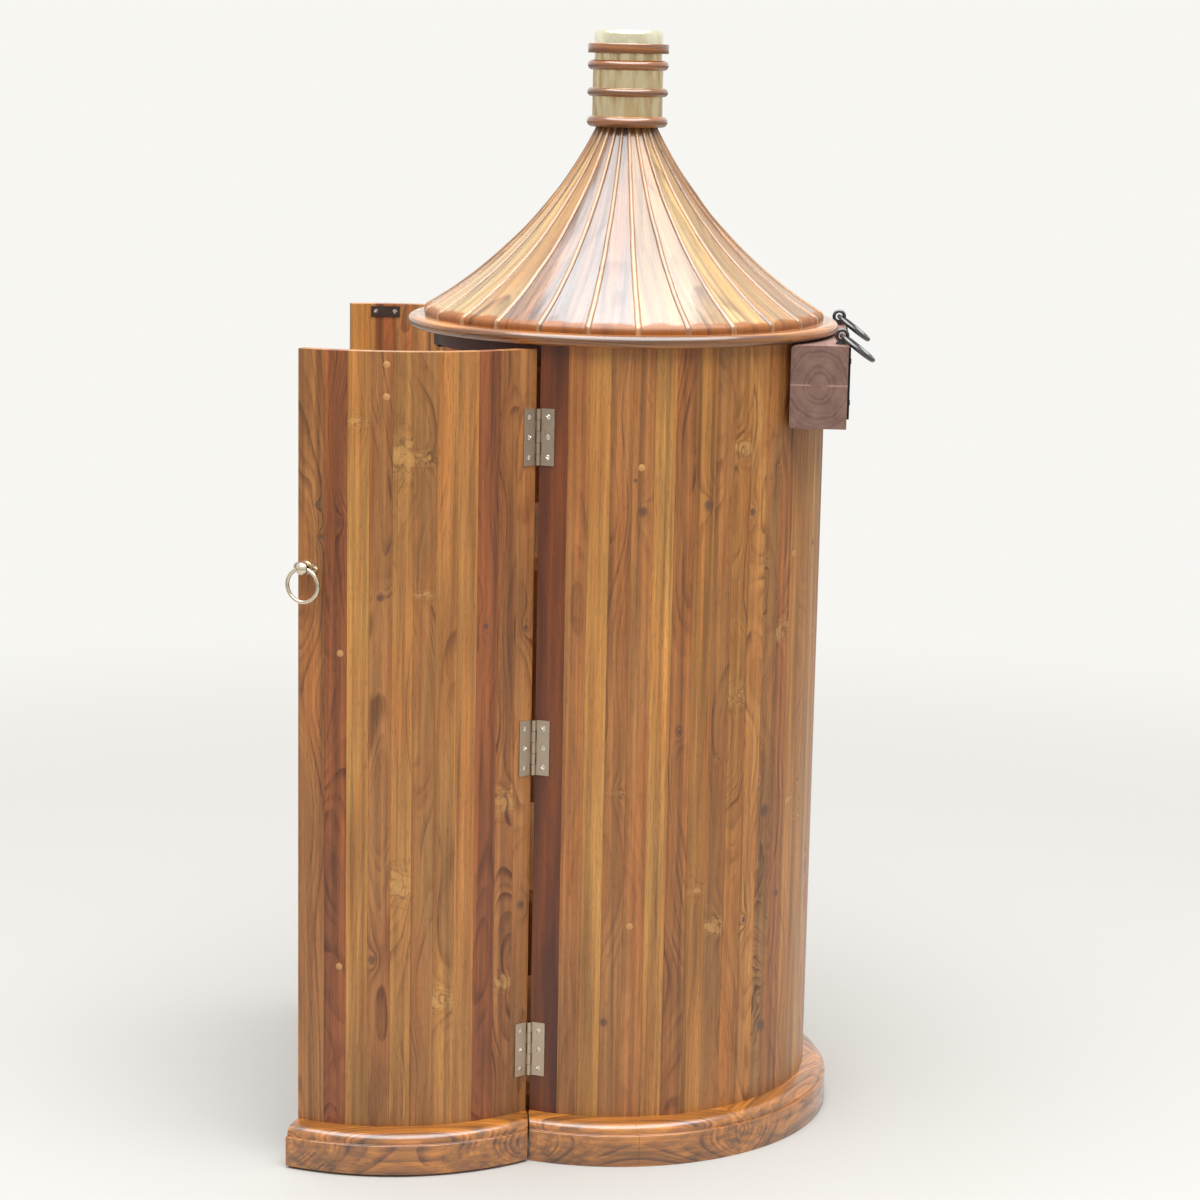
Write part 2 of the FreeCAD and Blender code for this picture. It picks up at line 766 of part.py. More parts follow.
def save_body():
    """Fixed body with its boards and racks."""
    save("wall_staves", wall_staves())
    save("hinge_stiles", hinge_stiles())
    save("plinth_segments", plinth_segments())
    save("base_bearers", base_bearers())
    save("bottom_board", [fitted_board(bottom_board_top - board_thickness, board_thickness)])
    save("lower_shelf", [fitted_board(lower_shelf_top - board_thickness, board_thickness)])
    save("upper_shelf", [fitted_board(upper_shelf_top - board_thickness, board_thickness)])
    save("shelf_cleats", shelf_cleats())
    save("bottle_rack_rails", bottle_rails())
    save("top_board", [top_board()])
    hanger_bottom = top_board_bottom - glass_hanger_height
    save("glass_rack_hangers", glass_rails(glass_hanger_width, hanger_bottom, top_board_bottom))
    save("glass_rack_runners", glass_rails(glass_runner_width, hanger_bottom - glass_runner_thickness, hanger_bottom))
    save("catch_magnets", catch_magnets())


def save_beam():
    """Beam across the back with what is fixed to it, and its two loose rings."""
    left_eye, right_eye = eye_places()
    save("rear_beam", [rear_beam()])
    save("beam_plate", [beam_plate()])
    save("eyebolts", [eyebolt(eye) for eye in eye_places()])
    save("right_beam_ring", [beam_ring(right_eye)])
    save("left_beam_ring", [beam_ring(left_eye)])


def save_roof_and_neck():
    """Brim, ribbed roof and neck."""
    curve = RoofCurve()
    save("brim", [brim()])
    save("roof_panels", roof_panels(curve))
    save("roof_ribs", roof_ribs(curve))
    levels = neck_levels()
    save("neck_core", [neck_core()])
    save("neck_ring_lowest", [bead_ring(levels[0], lowest_ring_height)])
    save("neck_band_lower", [band(neck_band_radius, levels[1], lower_band_height)])
    save("neck_ring_lower", [bead_ring(levels[2], lower_ring_height)])
    save("neck_band_middle", [band(neck_band_radius, levels[3], middle_band_height)])
    save("neck_ring_upper", [bead_ring(levels[4], upper_ring_height)])
    save("neck_band_upper", [band(neck_small_band_radius, levels[5], upper_band_height)])
    save("neck_ring_top", [flat_ring(levels[6], top_ring_height)])
    save("neck_cap", [neck_cap(levels[7])])


def save_wall_hinges():
    """Hinge halves and pins that stay on the body."""
    leaves = [hinge_leaf(centre, False) for centre in hinge_centres]
    pins = [hinge_pin(centre) for centre in hinge_centres]
    both = (1, -1)
    save("wall_hinge_leaves", [mirrored(leaf, side) for side in both for leaf in leaves])
    save("hinge_pins", [mirrored(pin, side) for side in both for pin in pins])


def save_door(name, side, opening, stop, pull_distance):
    """One door with everything that swings with it."""
    leaves = [hinge_leaf(centre, True) for centre in hinge_centres]
    pull_bearing = arc_degrees(pull_distance, body_radius)
    parts = {
        "door_staves": door_staves(),
        "door_plinth": [door_plinth(stop)],
        "door_hinge_leaves": leaves,
        "strike_plate": [strike_plate()],
        "pull_plate": [pull_plate(pull_bearing)],
        "pull_boss": [pull_boss(pull_bearing)],
        "pull_ring": [pull_ring(pull_bearing)],
    }
    for part_name, shapes in parts.items():
        save(name + "_" + part_name, swung(shapes, side, opening))


save_body()
save_beam()
save_roof_and_neck()
save_wall_hinges()
save_door("right", 1, right_door_open_angle, right_door_stop_angle, right_pull_from_meeting_line)
save_door("left", -1, left_door_open_angle, left_door_stop_angle, left_pull_from_meeting_line)
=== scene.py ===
"""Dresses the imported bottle-shaped bar cabinet: its staves, roof boards, mouldings, brass, steel and screws.

Sizes are millimetres until a mesh is made. A bearing is an angle about the upright axis, from -Y towards +X.
"""

import logging
import math
from dataclasses import dataclass, field
from enum import Enum
from typing import Any, Callable, Iterable, Sequence

import bpy
from bpy.types import Material, Node, NodeSocket, NodeTree, Object
from mathutils import Matrix, Vector

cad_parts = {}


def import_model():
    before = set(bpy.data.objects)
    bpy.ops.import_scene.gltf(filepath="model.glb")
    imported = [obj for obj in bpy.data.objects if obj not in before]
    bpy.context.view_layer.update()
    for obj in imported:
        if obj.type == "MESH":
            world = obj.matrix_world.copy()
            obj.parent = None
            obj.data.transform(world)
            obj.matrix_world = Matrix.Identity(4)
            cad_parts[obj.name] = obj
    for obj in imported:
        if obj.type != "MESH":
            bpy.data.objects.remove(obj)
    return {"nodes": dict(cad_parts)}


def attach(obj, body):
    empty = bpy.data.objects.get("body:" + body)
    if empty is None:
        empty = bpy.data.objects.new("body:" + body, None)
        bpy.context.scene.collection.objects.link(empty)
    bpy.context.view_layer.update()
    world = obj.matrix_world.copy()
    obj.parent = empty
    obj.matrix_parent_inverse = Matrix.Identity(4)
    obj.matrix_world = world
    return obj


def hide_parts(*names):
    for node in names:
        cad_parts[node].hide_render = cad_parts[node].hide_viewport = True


LOG = logging.getLogger("cabinet")
MM = 0.001
Point = tuple[float, float]
Triple = tuple[float, float, float]

# Kinds of node that most trees use.
MATH = "ShaderNodeMath"
VECTOR = "ShaderNodeVectorMath"
RANGE = "ShaderNodeMapRange"
MIX = "ShaderNodeMix"
NOISE = "ShaderNodeTexNoise"

# Shift from one board's pattern to the next one's, middle of a coloured noise, colour of the shade painted in
# a deep seam, and a knot that lies off its board.
APART = (171.0, 93.0, 2311.0)
MIDDLE = (0.5, 0.5, 0.5)
SHADE = (0.01, 0.01, 0.01, 1.0)
AWAY = (0.0, -500.0, 1.0)

# Half of a hairline joint, and the step from one plank's number to the next one's.
JOINT_HALF = 0.2
SEED_STEP = 2.3

# Sizes that the wall, the doors and their fittings share, and degrees of the mitre and of the pins' bearing.
RADIUS = 285.0
WALL = 18.0
WALL_TOP = 1119.3
PLINTH_RADIUS = 317.98
WALL_MITRE = 27.5
GAP = 0.6
PIN_RADIUS = 288.6
PIN_BEARING = 67.0
HINGE_LEVELS = (150.0, 575.0, 997.0)
NECK_FOOT = 1396.5


class Tone(Enum):
    """Plain colours of the oiled timber, as sRGB hex values. Some roof tones carry painted light."""

    STRAW = "#BA8544"
    HONEY = "#B47D40"
    GOLDEN = "#AE7639"
    TAN = "#A56F3C"
    OLIVE = "#9D6D3A"
    BROWN = "#9B6434"
    REDDISH = "#97592E"
    UMBER = "#884D28"
    STILE = "#51230F"
    # Tones of the roof boards, laid by bearing: partly their own colour, partly painted light and shade.
    SHEAF = "#B0925C"
    AMBER = "#907348"
    CHESTNUT = "#7E5E33"
    MOULDING = "#B06E26"
    BRIM = "#A86A28"
    # Grey for the roof boards that face the camera: a painted reflection of the pale sky above.
    DUSK = "#5F5049"
    TURNED = "#8E5216"
    BEAD = "#A8794A"


class Streak(Enum):
    """Noises drawn out along the grain: millimetres across and along it, and levels of finer noise.

    The real fibres and pores are a third of these widths, too fine to show in the render.
    """

    FIBRE = (1.6, 90.0, 2.0)
    PORE = (1.1, 14.0, 0.0)
    BAND = (8.0, 520.0, 2.0)
    RAGGED = (15.0, 11.0, 3.0)
    RIPPLE = (16.0, 60.0, 2.0)
    FADE = (20.0, 160.0, 1.0)
    CURL = (24.0, 45.0, 1.0)
    CLOUD = (30.0, 300.0, 2.0)
    DRIFT = (40.0, 240.0, 1.0)
    BEND = (80.0, 300.0, 1.0)


def linear(hex_colour: str) -> tuple[float, float, float, float]:
    """Turn an sRGB hex colour into linear light.

    Args:
        hex_colour: Colour such as "#A06040".

    Returns:
        Linear red, green, blue and an alpha of 1.
    """
    parts = [int(hex_colour[i:i + 2], 16) / 255 for i in (1, 3, 5)]
    red, green, blue = (p / 12.92 if p <= 0.04045 else ((p + 0.055) / 1.055) ** 2.4 for p in parts)
    return red, green, blue, 1.0


def set_inputs(tree: NodeTree, node: Node, inputs: dict[Any, Any]) -> None:
    """Set or link inputs of a node.

    Args:
        tree: Tree that holds the node.
        node: The node.
        inputs: Value, socket or node for each input, by name or by place among those in use. A node stands
            for its first output in use.
    """
    sockets = [s for s in node.inputs if s.enabled]
    for key, value in inputs.items():
        socket = sockets[key] if isinstance(key, int) else next(s for s in sockets if s.name == key)
        if isinstance(value, Node):
            value = next(s for s in value.outputs if s.enabled)
        if isinstance(value, NodeSocket):
            tree.links.new(value, socket)
        else:
            socket.default_value = value


def add_node(tree: NodeTree, kind: str, inputs: dict[Any, Any] | None = None, **settings: Any) -> Any:
    """Add a node, with its settings, values and links.

    Args:
        tree: Shader or geometry tree that gets the node.
        kind: The node's type.
        inputs: Value, socket or node for each input.
        settings: Properties of the node.

    Returns:
        The new node.
    """
    node = tree.nodes.new(kind)
    for name, value in settings.items():
        setattr(node, name, value)
    set_inputs(tree, node, inputs or {})
    return node


def new_material(name: str) -> tuple[Material, NodeTree, Node]:
    """Start a material and give it, its tree and its shader."""
    made = bpy.data.materials.new(name)
    made.use_nodes = True
    return made, made.node_tree, made.node_tree.nodes["Principled BSDF"]


def place_in_millimetres(tree: NodeTree, turn: float = 0.0) -> Node:
    """Give object coordinates in millimetres, turned about +Z by an angle in radians."""
    spot = add_node(tree, "ShaderNodeTexCoord").outputs["Object"]
    return add_node(tree, "ShaderNodeMapping",
                    {0: spot, "Rotation": (0.0, 0.0, turn), "Scale": (1 / MM,) * 3})


def polar(radius: float, bearing: float, height: float) -> Vector:
    """Return the point at a radius, bearing in degrees and height."""
    angle = math.radians(bearing)
    return Vector((radius * math.sin(angle), -radius * math.cos(angle), height))


def make_mesh(name: str, points: Iterable[Sequence[float]], faces: Iterable[Sequence[int]],
              values: dict[str, Sequence[Any]] | None = None) -> Object:
    """Make an object from points in millimetres.

    Args:
        name: Name of the object and its mesh.
        points: Corners, in millimetres.
        faces: Corner numbers of each face, outward by the right-hand rule.
        values: Named values for each corner: numbers or triples.

    Returns:
        The linked object, at the origin.
    """
    mesh = bpy.data.meshes.new(name)
    mesh.from_pydata([tuple(c * MM for c in p) for p in points], [], [tuple(f) for f in faces])
    for label, numbers in (values or {}).items():
        triple = not isinstance(numbers[0], (int, float))
        layer = mesh.attributes.new(label, "FLOAT_VECTOR" if triple else "FLOAT", "POINT")
        flat = [c for n in numbers for c in n] if triple else list(numbers)
        layer.data.foreach_set("vector" if triple else "value", flat)
    mesh.validate()
    made = bpy.data.objects.new(name, mesh)
    bpy.context.scene.collection.objects.link(made)
    return made


def settle(made: Object, body: str, finish: Material | None = None,
           stands_for: Sequence[str] = (), slot: str | None = None, crease: float = 32.0) -> Object:
    """Smooth a finished piece, dress it and let it ride on a body.

    Args:
        made: The piece.
        body: CAD body that carries it.
        finish: Material, or None where the piece has its own.
        stands_for: CAD nodes that the piece replaces.
        slot: Not used.
        crease: Angle in degrees above which an edge stays sharp.

    Returns:
        The same piece.
    """
    mesh = made.data
    mesh.shade_smooth()
    mesh.set_sharp_from_angle(angle=math.radians(crease))
    if finish is not None:
        mesh.materials.clear()
        mesh.materials.append(finish)
    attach(made, body)
    if stands_for:
        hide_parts(*stands_for)
    LOG.info("%s: %d faces on %s", made.name, len(mesh.polygons), body)
    return made


def run_tree(carrier: Object, tree: NodeTree, inputs: dict[str, Any]) -> Object:
    """Run a geometry tree on an object and keep the result as a plain mesh.

    Args:
        carrier: Object whose mesh the tree starts from. It is used up.
        tree: Geometry tree.
        inputs: Value of each named input.

    Returns:
        A plain object with the carrier's name.
    """
    name = carrier.name
    modifier = carrier.modifiers.new("build", "NODES")
    modifier.node_group = tree
    sockets = {item.name: item.identifier for item in tree.interface.items_tree if item.item_type == "SOCKET"}
    for label, value in inputs.items():
        modifier[sockets[label]] = value
    graph = bpy.context.evaluated_depsgraph_get()
    graph.update()
    mesh = bpy.data.meshes.new_from_object(carrier.evaluated_get(graph), depsgraph=graph)
    carrier.modifiers.clear()
    old = carrier.data
    bpy.data.objects.remove(carrier)
    bpy.data.meshes.remove(old)
    mesh.name = name
    made = bpy.data.objects.new(name, mesh)
    bpy.context.scene.collection.objects.link(made)
    return made


def new_tree(name: str, inputs: dict[str, str]) -> tuple[NodeTree, Any]:
    """Start a geometry tree.

    Args:
        name: Name of the tree.
        inputs: Socket type of each named input beside the geometry and the finish.

    Returns:
        The tree and the outputs of its input node.
    """
    tree = bpy.data.node_groups.new(name, "GeometryNodeTree")
    tree.interface.new_socket("Geometry", in_out="INPUT", socket_type="NodeSocketGeometry")
    for label, kind in {**inputs, "Finish": "NodeSocketMaterial"}.items():
        tree.interface.new_socket(label, in_out="INPUT", socket_type=kind)
    tree.interface.new_socket("Geometry", in_out="OUTPUT", socket_type="NodeSocketGeometry")
    tree.nodes.new("NodeGroupOutput")
    return tree, tree.nodes.new("NodeGroupInput").outputs


def dress_tree(tree: NodeTree, geometry: Node) -> NodeTree:
    """End a geometry tree with the material of its input "Finish" on the geometry."""
    start, end = tree.nodes["Group Input"], tree.nodes["Group Output"]
    done = add_node(tree, "GeometryNodeSetMaterial",
                    {"Geometry": geometry, "Material": start.outputs["Finish"]})
    tree.links.new(done.outputs[0], end.inputs[0])
    return tree


def rounded(corner: Point, before: Point, after: Point, radius: float, steps: int) -> list[Point]:
    """Round one corner of an outline.

    Args:
        corner: The corner.
        before: The point before it.
        after: The point after it.
        radius: Radius of the arc.
        steps: Straight pieces in the arc.

    Returns:
        Points along the arc.
    """
    at, back, on = Vector(corner), Vector(before) - Vector(corner), Vector(after) - Vector(corner)
    back.normalize()
    on.normalize()
    half = back.angle(on) / 2
    centre = at + (back + on).normalized() * (radius / math.sin(half))
    first = at + back * (radius / math.tan(half)) - centre
    last = at + on * (radius / math.tan(half)) - centre
    turn = first.angle_signed(last)
    return [tuple(centre + first @ Matrix.Rotation(turn * i / steps, 2)) for i in range(steps + 1)]


def arc_points(centre: Point, radii: Point, start: float, end: float, steps: int) -> list[Point]:
    """Points on an ellipse's arc, from one angle in degrees to another."""
    angles = [math.radians(start + (end - start) * i / steps) for i in range(steps + 1)]
    return [(centre[0] + radii[0] * math.cos(a), centre[1] + radii[1] * math.sin(a)) for a in angles]


def revolved(name: str, outline: Sequence[Point], start: float = 0.0, sweep: float = 360.0, steps: int = 96,
             seed: float = 0.0, place: Callable[[float, float, float], Vector] = polar,
             lengths: int = 1, planks: int = 0) -> Object:
    """Turn a closed outline about the axis, its grain running round or through it in straight planks.

    Args:
        name: Name of the piece.
        outline: (radius, height) points, anticlockwise with the radius to the right.
        start: Bearing where it starts.
        sweep: Degrees that it covers. 360 closes it.
        steps: Straight pieces round each length.
        seed: Number that sets the piece's figure.
        place: Turns a radius, bearing and height into a point.
        lengths: Number of lengths that meet at hairline joints.
        planks: Number of straight planks that the lengths are sawn from. With 0 the grain runs round.

    Returns:
        The piece, with its grain stored on its corners.
    """
    full = sweep >= 360.0
    columns = steps if full else steps + 1
    middle = max(r for r, _ in outline)
    joint = math.degrees(JOINT_HALF / middle)
    count = len(outline)
    points: list[Vector] = []
    grain: list[Triple] = []
    seeds: list[float] = []
    faces: list[list[int]] = []
    for length in range(lengths):
        first = start + sweep * length / lengths + (joint if length else 0.0)
        last = start + sweep * (length + 1) / lengths - (joint if length < lengths - 1 else 0.0)
        index: dict[tuple[int, int], int] = {}
        plank = length * planks // lengths
        shared = [i for i in range(lengths) if i * planks // lengths == plank]
        centre = start + sweep * (shared[0] + shared[-1] + 1) / 2 / lengths
        for column in range(columns):
            bearing = first + (last - first) * column / steps
            for row, (radius, height) in enumerate(outline):
                if radius < 1e-6 and column:
                    index[column, row] = index[0, row]
                    continue
                index[column, row] = len(points)
                points.append(place(radius, bearing, height))
                if planks:
                    turn = math.radians(bearing - centre)
                    grain.append((height, radius * math.cos(turn) - middle, radius * math.sin(turn)))
                else:
                    grain.append((height, radius - middle, math.radians(bearing) * middle))
                seeds.append(seed + SEED_STEP * plank)
        for column in range(steps):
            on = (column + 1) % columns if full else column + 1
            for row in range(count):
                nxt = (row + 1) % count
                quad = [index[column, row], index[on, row], index[on, nxt], index[column, nxt]]
                face = [c for i, c in enumerate(quad) if c not in quad[:i]]
                if len(face) > 2:
                    faces.append(face)
        if not full:
            faces.append([index[0, row] for row in range(count)])
            faces.append([index[steps, row] for row in reversed(range(count))])
    return make_mesh(name, points, faces, {"grain": grain, "seed": seeds})


@dataclass(frozen=True)
class Wood:
    """A finished timber. Its sizes are in millimetres.

    Grain runs along the third number of the "grain" value. Growth rings lie about a pith of each board's own:
    "pith" varies its depth, "behind" adds to it, "aside" is its range sideways and "sway" its lean. Where
    tone is None, a board brings its tone, its knots and its figure: contrast of the rings, waviness and
    strength of the streaks. A tinted timber's boards bring their tone alone. A timber with a "turn" has
    nothing stored: it lies in boards of one width, along that turn about +Z in radians.
    """

    name: str
    ring: float = 5.5
    broad: float = 3.7
    pith: float = 46.0
    behind: float = 0.0
    aside: tuple[float, float] = (-50.0, 50.0)
    sway: float = 0.09
    swell: float = 230.0
    figure: Triple = (0.4, 1.0, 0.8)
    tone: Tone | None = None
    tinted: bool = False
    warm: str = "#A2561F"
    pale: str = "#D8A660"
    heart: str = "#5A3D31"
    ink: Triple = (0.34, 0.25, 0.22)
    turn: float | None = None
    board: float = 0.0
    roughness: float = 0.42
    relief: float = 0.12
    coat: float = 0.25
    coat_roughness: float = 0.22
    coat_ior: float = 1.5
    ripple: float = 0.0
    # Length in millimetres of the shade painted at a board's rounded foot, and the colour of that painted
    # shade.
    foot: float = 0.0
    foot_shade: str = "#8E4E06"

    def material(self) -> Material:
        """Build the material: growth rings about a wandering pith, streaks, fibres, pores and knots."""
        made, tree, shader = new_material(self.name)
        grain, seed = self.coordinates(tree)
        contrast, waves, streak = self.figures(tree)
        away = add_node(tree, VECTOR, {0: APART, "Scale": seed}, operation="SCALE")
        own = add_node(tree, VECTOR, {0: grain, 1: away}, operation="ADD")
        pull, heart, flare, rim = self.knots(tree, grain, own)
        wander = self.wander(tree, own, waves)
        place = add_node(tree, VECTOR, {0: grain, 1: wander}, operation="ADD")
        rings = self.ring_count(tree, place, seed, pull, waves)
        fibre = self.streaks(tree, own, Streak.FIBRE)
        body, cloud = self.body_colour(tree, own, rings, fibre, contrast, streak)
        skin: Any = self.coat
        # Painted shade on each board's rounded foot, with a thinner coat there.
        if self.foot:
            body, skin = self.paint_foot_shade(tree, grain, cloud, body)
        body = add_node(tree, MIX, {"Factor": flare, "A": body, "B": linear(self.pale)}, data_type="RGBA")
        ink = add_node(tree, VECTOR, {0: body, 1: self.ink}, operation="MULTIPLY")
        line = self.ring_lines(tree, own, rings, pull, contrast)
        pore = self.streaks(tree, own, Streak.PORE)
        pore = add_node(tree, RANGE, {"Value": pore, "From Min": 0.6, "From Max": 0.7, "To Max": 0.26},
                        interpolation_type="SMOOTHSTEP")
        mark = add_node(tree, MATH, {0: line, 1: pore}, operation="ADD")
        mark = add_node(tree, MATH, {0: mark, 1: rim}, operation="ADD")
        mark = add_node(tree, MATH, {0: mark, 1: 0.95}, operation="MINIMUM")
        wood = add_node(tree, MIX, {"Factor": mark, "A": body, "B": ink}, data_type="RGBA")
        wood = add_node(tree, MIX, {"Factor": heart, "A": wood, "B": linear(self.heart)}, data_type="RGBA")
        gloss = add_node(tree, MATH, {0: mark, 1: 0.12, 2: self.roughness}, operation="MULTIPLY_ADD")
        relief = add_node(tree, "ShaderNodeBump",
                          {"Height": fibre, "Distance": self.relief * MM, "Strength": 0.5})
        set_inputs(tree, shader, {"Base Color": wood, "Roughness": gloss, "Normal": relief,
                                  "Coat Weight": skin, "Coat Roughness": self.coat_roughness,
                                  "Coat IOR": self.coat_ior})
        if self.ripple:
            waviness = self.streaks(tree, own, Streak.RIPPLE)
            waviness = add_node(tree, "ShaderNodeBump", {"Height": waviness, "Distance": self.ripple * MM})
            set_inputs(tree, shader, {"Coat Normal": waviness})
        return made

    def ring_lines(self, tree: NodeTree, own: Any, rings: Any, pull: Any, contrast: Any) -> Any:
        """Draw the late wood of each ring as a dark line that comes and goes, darker by a knot.

        Args:
            tree: The material's tree.
            own: Place in the board, moved by the board's number.
            rings: Count of the growth rings.
            pull: How far knots push the rings aside.
            contrast: The board's contrast of the rings.

        Returns:
            Node with the strength of the lines.
        """
        phase = add_node(tree, MATH, {0: rings}, operation="FRACT")
        late = add_node(tree, RANGE, {"Value": phase, "From Min": 0.3, "From Max": 0.9},
                        interpolation_type="SMOOTHSTEP")
        early = add_node(tree, RANGE,
                         {"Value": phase, "From Min": 0.9, "From Max": 1.0, "To Min": 1.0, "To Max": 0.0},
                         interpolation_type="SMOOTHSTEP")
        year = add_node(tree, MATH, {0: rings}, operation="FLOOR")
        year = add_node(tree, "ShaderNodeTexWhiteNoise", {"W": year}, noise_dimensions="1D")
        year = add_node(tree, MATH, {0: year, 1: 2.0}, operation="POWER")
        year = add_node(tree, MATH, {0: year, 1: 0.7, 2: 0.3}, operation="MULTIPLY_ADD")
        fade = self.streaks(tree, own, Streak.FADE)
        fade = add_node(tree, RANGE,
                        {"Value": fade, "From Min": 0.4, "From Max": 0.62, "To Min": 0.15, "To Max": 1.05})
        near = add_node(tree, MATH, {0: pull, 1: 0.7, 2: contrast}, operation="MULTIPLY_ADD")
        line = late
        for share in (early, year, fade, near):
            line = add_node(tree, MATH, {0: line, 1: share}, operation="MULTIPLY")
        return line

    def body_colour(self, tree: NodeTree, own: Any, rings: Any, fibre: Any, contrast: Any,
                    streak: Any) -> tuple[Any, Any]:
        """Lay the timber's colour: clouds of the warmer tone, and bands, fibres and rings over it.

        Args:
            tree: The material's tree.
            own: Place in the board, moved by the board's number.
            rings: Count of the growth rings.
            fibre: Noise of the fibres.
            contrast: The board's contrast of the rings.
            streak: Strength of the board's streaks.

        Returns:
            Node with the colour and node with the clouds.
        """
        broad = add_node(tree, MATH, {0: rings, 1: math.tau / self.broad}, operation="MULTIPLY")
        broad = add_node(tree, MATH, {0: broad}, operation="SINE")
        broad = add_node(tree, MATH, {0: broad, 1: contrast}, operation="MULTIPLY")
        cloud = self.streaks(tree, own, Streak.CLOUD)
        cloud = add_node(tree, MATH, {0: broad, 1: 0.06, 2: cloud}, operation="MULTIPLY_ADD")
        cloud = add_node(tree, RANGE, {"Value": cloud, "From Min": 0.36, "From Max": 0.66})
        base = self.base(tree)
        warm = add_node(tree, MIX, {"Factor": 0.42, "A": base, "B": linear(self.warm)}, data_type="RGBA")
        hue = add_node(tree, MIX, {"Factor": cloud, "A": base, "B": warm}, data_type="RGBA")
        band = self.streaks(tree, own, Streak.BAND)
        band = add_node(tree, RANGE, {"Value": band, "From Min": 0.3, "From Max": 0.7, "To Min": -1.0})
        band = add_node(tree, MATH, {0: band, 1: streak}, operation="MULTIPLY")
        level = add_node(tree, MATH, {0: band, 1: 0.34, 2: 1.0}, operation="MULTIPLY_ADD")
        tint = add_node(tree, RANGE,
                        {"Value": fibre, "From Min": 0.3, "From Max": 0.7, "To Min": 0.86, "To Max": 1.13})
        drift = self.streaks(tree, own, Streak.DRIFT)
        drift = add_node(tree, MATH, {0: broad, 1: -0.09, 2: drift}, operation="MULTIPLY_ADD")
        drift = add_node(tree, RANGE,
                         {"Value": drift, "From Min": 0.3, "From Max": 0.7, "To Min": 0.83, "To Max": 1.16})
        for share in (tint, drift):
            level = add_node(tree, MATH, {0: level, 1: share}, operation="MULTIPLY")
        return add_node(tree, VECTOR, {0: hue, "Scale": level}, operation="SCALE"), cloud

    def paint_foot_shade(self, tree: NodeTree, grain: Any, cloud: Any, body: Any) -> tuple[Any, Any]:
        """Paint shade at the board's rounded foot, where it turns down away from the light above, and thin the
        coat there.

        Args:
            tree: The material's tree.
            grain: Place in the board.
            cloud: Slow noise that makes the edge uneven.
            body: Colour of the wood.

        Returns:
            Node with the colour and node with the coat's strength, thinner under the painted shade.
        """
        split = add_node(tree, "ShaderNodeSeparateXYZ", {0: grain})
        along = add_node(tree, MATH, {0: cloud, 1: self.foot * 0.3, 2: split.outputs["Z"]},
                         operation="MULTIPLY_ADD")
        foot_shade = add_node(tree, RANGE, {"Value": along, "From Min": self.foot * 0.85,
                                      "From Max": self.foot * 1.1, "To Min": 0.95, "To Max": 0.0})
        skin = add_node(tree, MATH, {0: foot_shade, 1: -0.8 * self.coat, 2: self.coat}, operation="MULTIPLY_ADD")
        body = add_node(tree, MIX, {"Factor": foot_shade, "A": body, "B": linear(self.foot_shade)}, data_type="RGBA")
        return body, skin

    def wander(self, tree: NodeTree, own: Any, waves: Any) -> Any:
        """Bend the grain slowly, and tightly where the waviness is over 2.

        Args:
            tree: The material's tree.
            own: Place in the board, moved by the board's number.
            waves: The board's waviness.

        Returns:
            Node with the shift in millimetres.
        """
        slow = add_node(tree, MATH, {0: waves, 1: 44.0}, operation="MULTIPLY")
        tight = add_node(tree, MATH, {0: waves, 1: 2.0}, operation="SUBTRACT")
        tight = add_node(tree, MATH, {0: tight, 1: 0.0}, operation="MAXIMUM")
        tight = add_node(tree, MATH, {0: tight, 1: 20.0}, operation="MULTIPLY")
        shifts = []
        for kind, reach in ((Streak.BEND, slow), (Streak.CURL, tight)):
            bend = self.streaks(tree, own, kind).outputs["Color"]
            bend = add_node(tree, VECTOR, {0: bend, 1: MIDDLE}, operation="SUBTRACT")
            shifts.append(add_node(tree, VECTOR, {0: bend, "Scale": reach}, operation="SCALE"))
        return add_node(tree, VECTOR, {0: shifts[0], 1: shifts[1]}, operation="ADD")

    def ring_count(self, tree: NodeTree, place: Any, seed: Any, pull: Any, waves: Any) -> Any:
        """Count the growth rings from the board's own pith, unevenly spaced.

        Args:
            tree: The material's tree.
            place: Node with the bent place in the board.
            seed: The board's number.
            pull: How far knots push the rings aside.
            waves: The board's waviness.

        Returns:
            Node with the count.
        """
        chance = add_node(tree, "ShaderNodeTexWhiteNoise", {"W": seed},
                          noise_dimensions="1D").outputs["Color"]
        chance = add_node(tree, "ShaderNodeSeparateColor", {0: chance})
        red, green, blue = chance.outputs
        split = add_node(tree, "ShaderNodeSeparateXYZ", {0: place})
        least, most = self.aside
        side = add_node(tree, MATH, {0: red, 1: most - least, 2: least}, operation="MULTIPLY_ADD")
        across = add_node(tree, MATH, {0: split.outputs["X"], 1: side}, operation="ADD")
        lean = add_node(tree, MATH, {0: green, 1: self.sway, 2: -self.sway / 2}, operation="MULTIPLY_ADD")
        rise = add_node(tree, MATH, {0: split.outputs["Z"], 1: lean}, operation="MULTIPLY")
        deep = add_node(tree, MATH, {0: blue, 1: self.pith, 2: self.pith / 3 + self.behind},
                        operation="MULTIPLY_ADD")
        deep = add_node(tree, MATH, {0: deep, 1: rise}, operation="ADD")
        swell = add_node(tree, MATH, {0: green, 1: 70.0}, operation="MULTIPLY")
        swell = add_node(tree, MATH, {0: split.outputs["Z"], 1: 1 / self.swell, 2: swell},
                         operation="MULTIPLY_ADD")
        swell = add_node(tree, NOISE, {"W": swell, "Scale": 1.0, "Detail": 0.0}, noise_dimensions="1D")
        swell = add_node(tree, MATH, {0: swell, 1: waves}, operation="MULTIPLY")
        deep = add_node(tree, MATH, {0: swell, 1: self.pith * 0.6, 2: deep}, operation="MULTIPLY_ADD")
        deep = add_node(tree, MATH, {0: split.outputs["Y"], 1: deep}, operation="ADD")
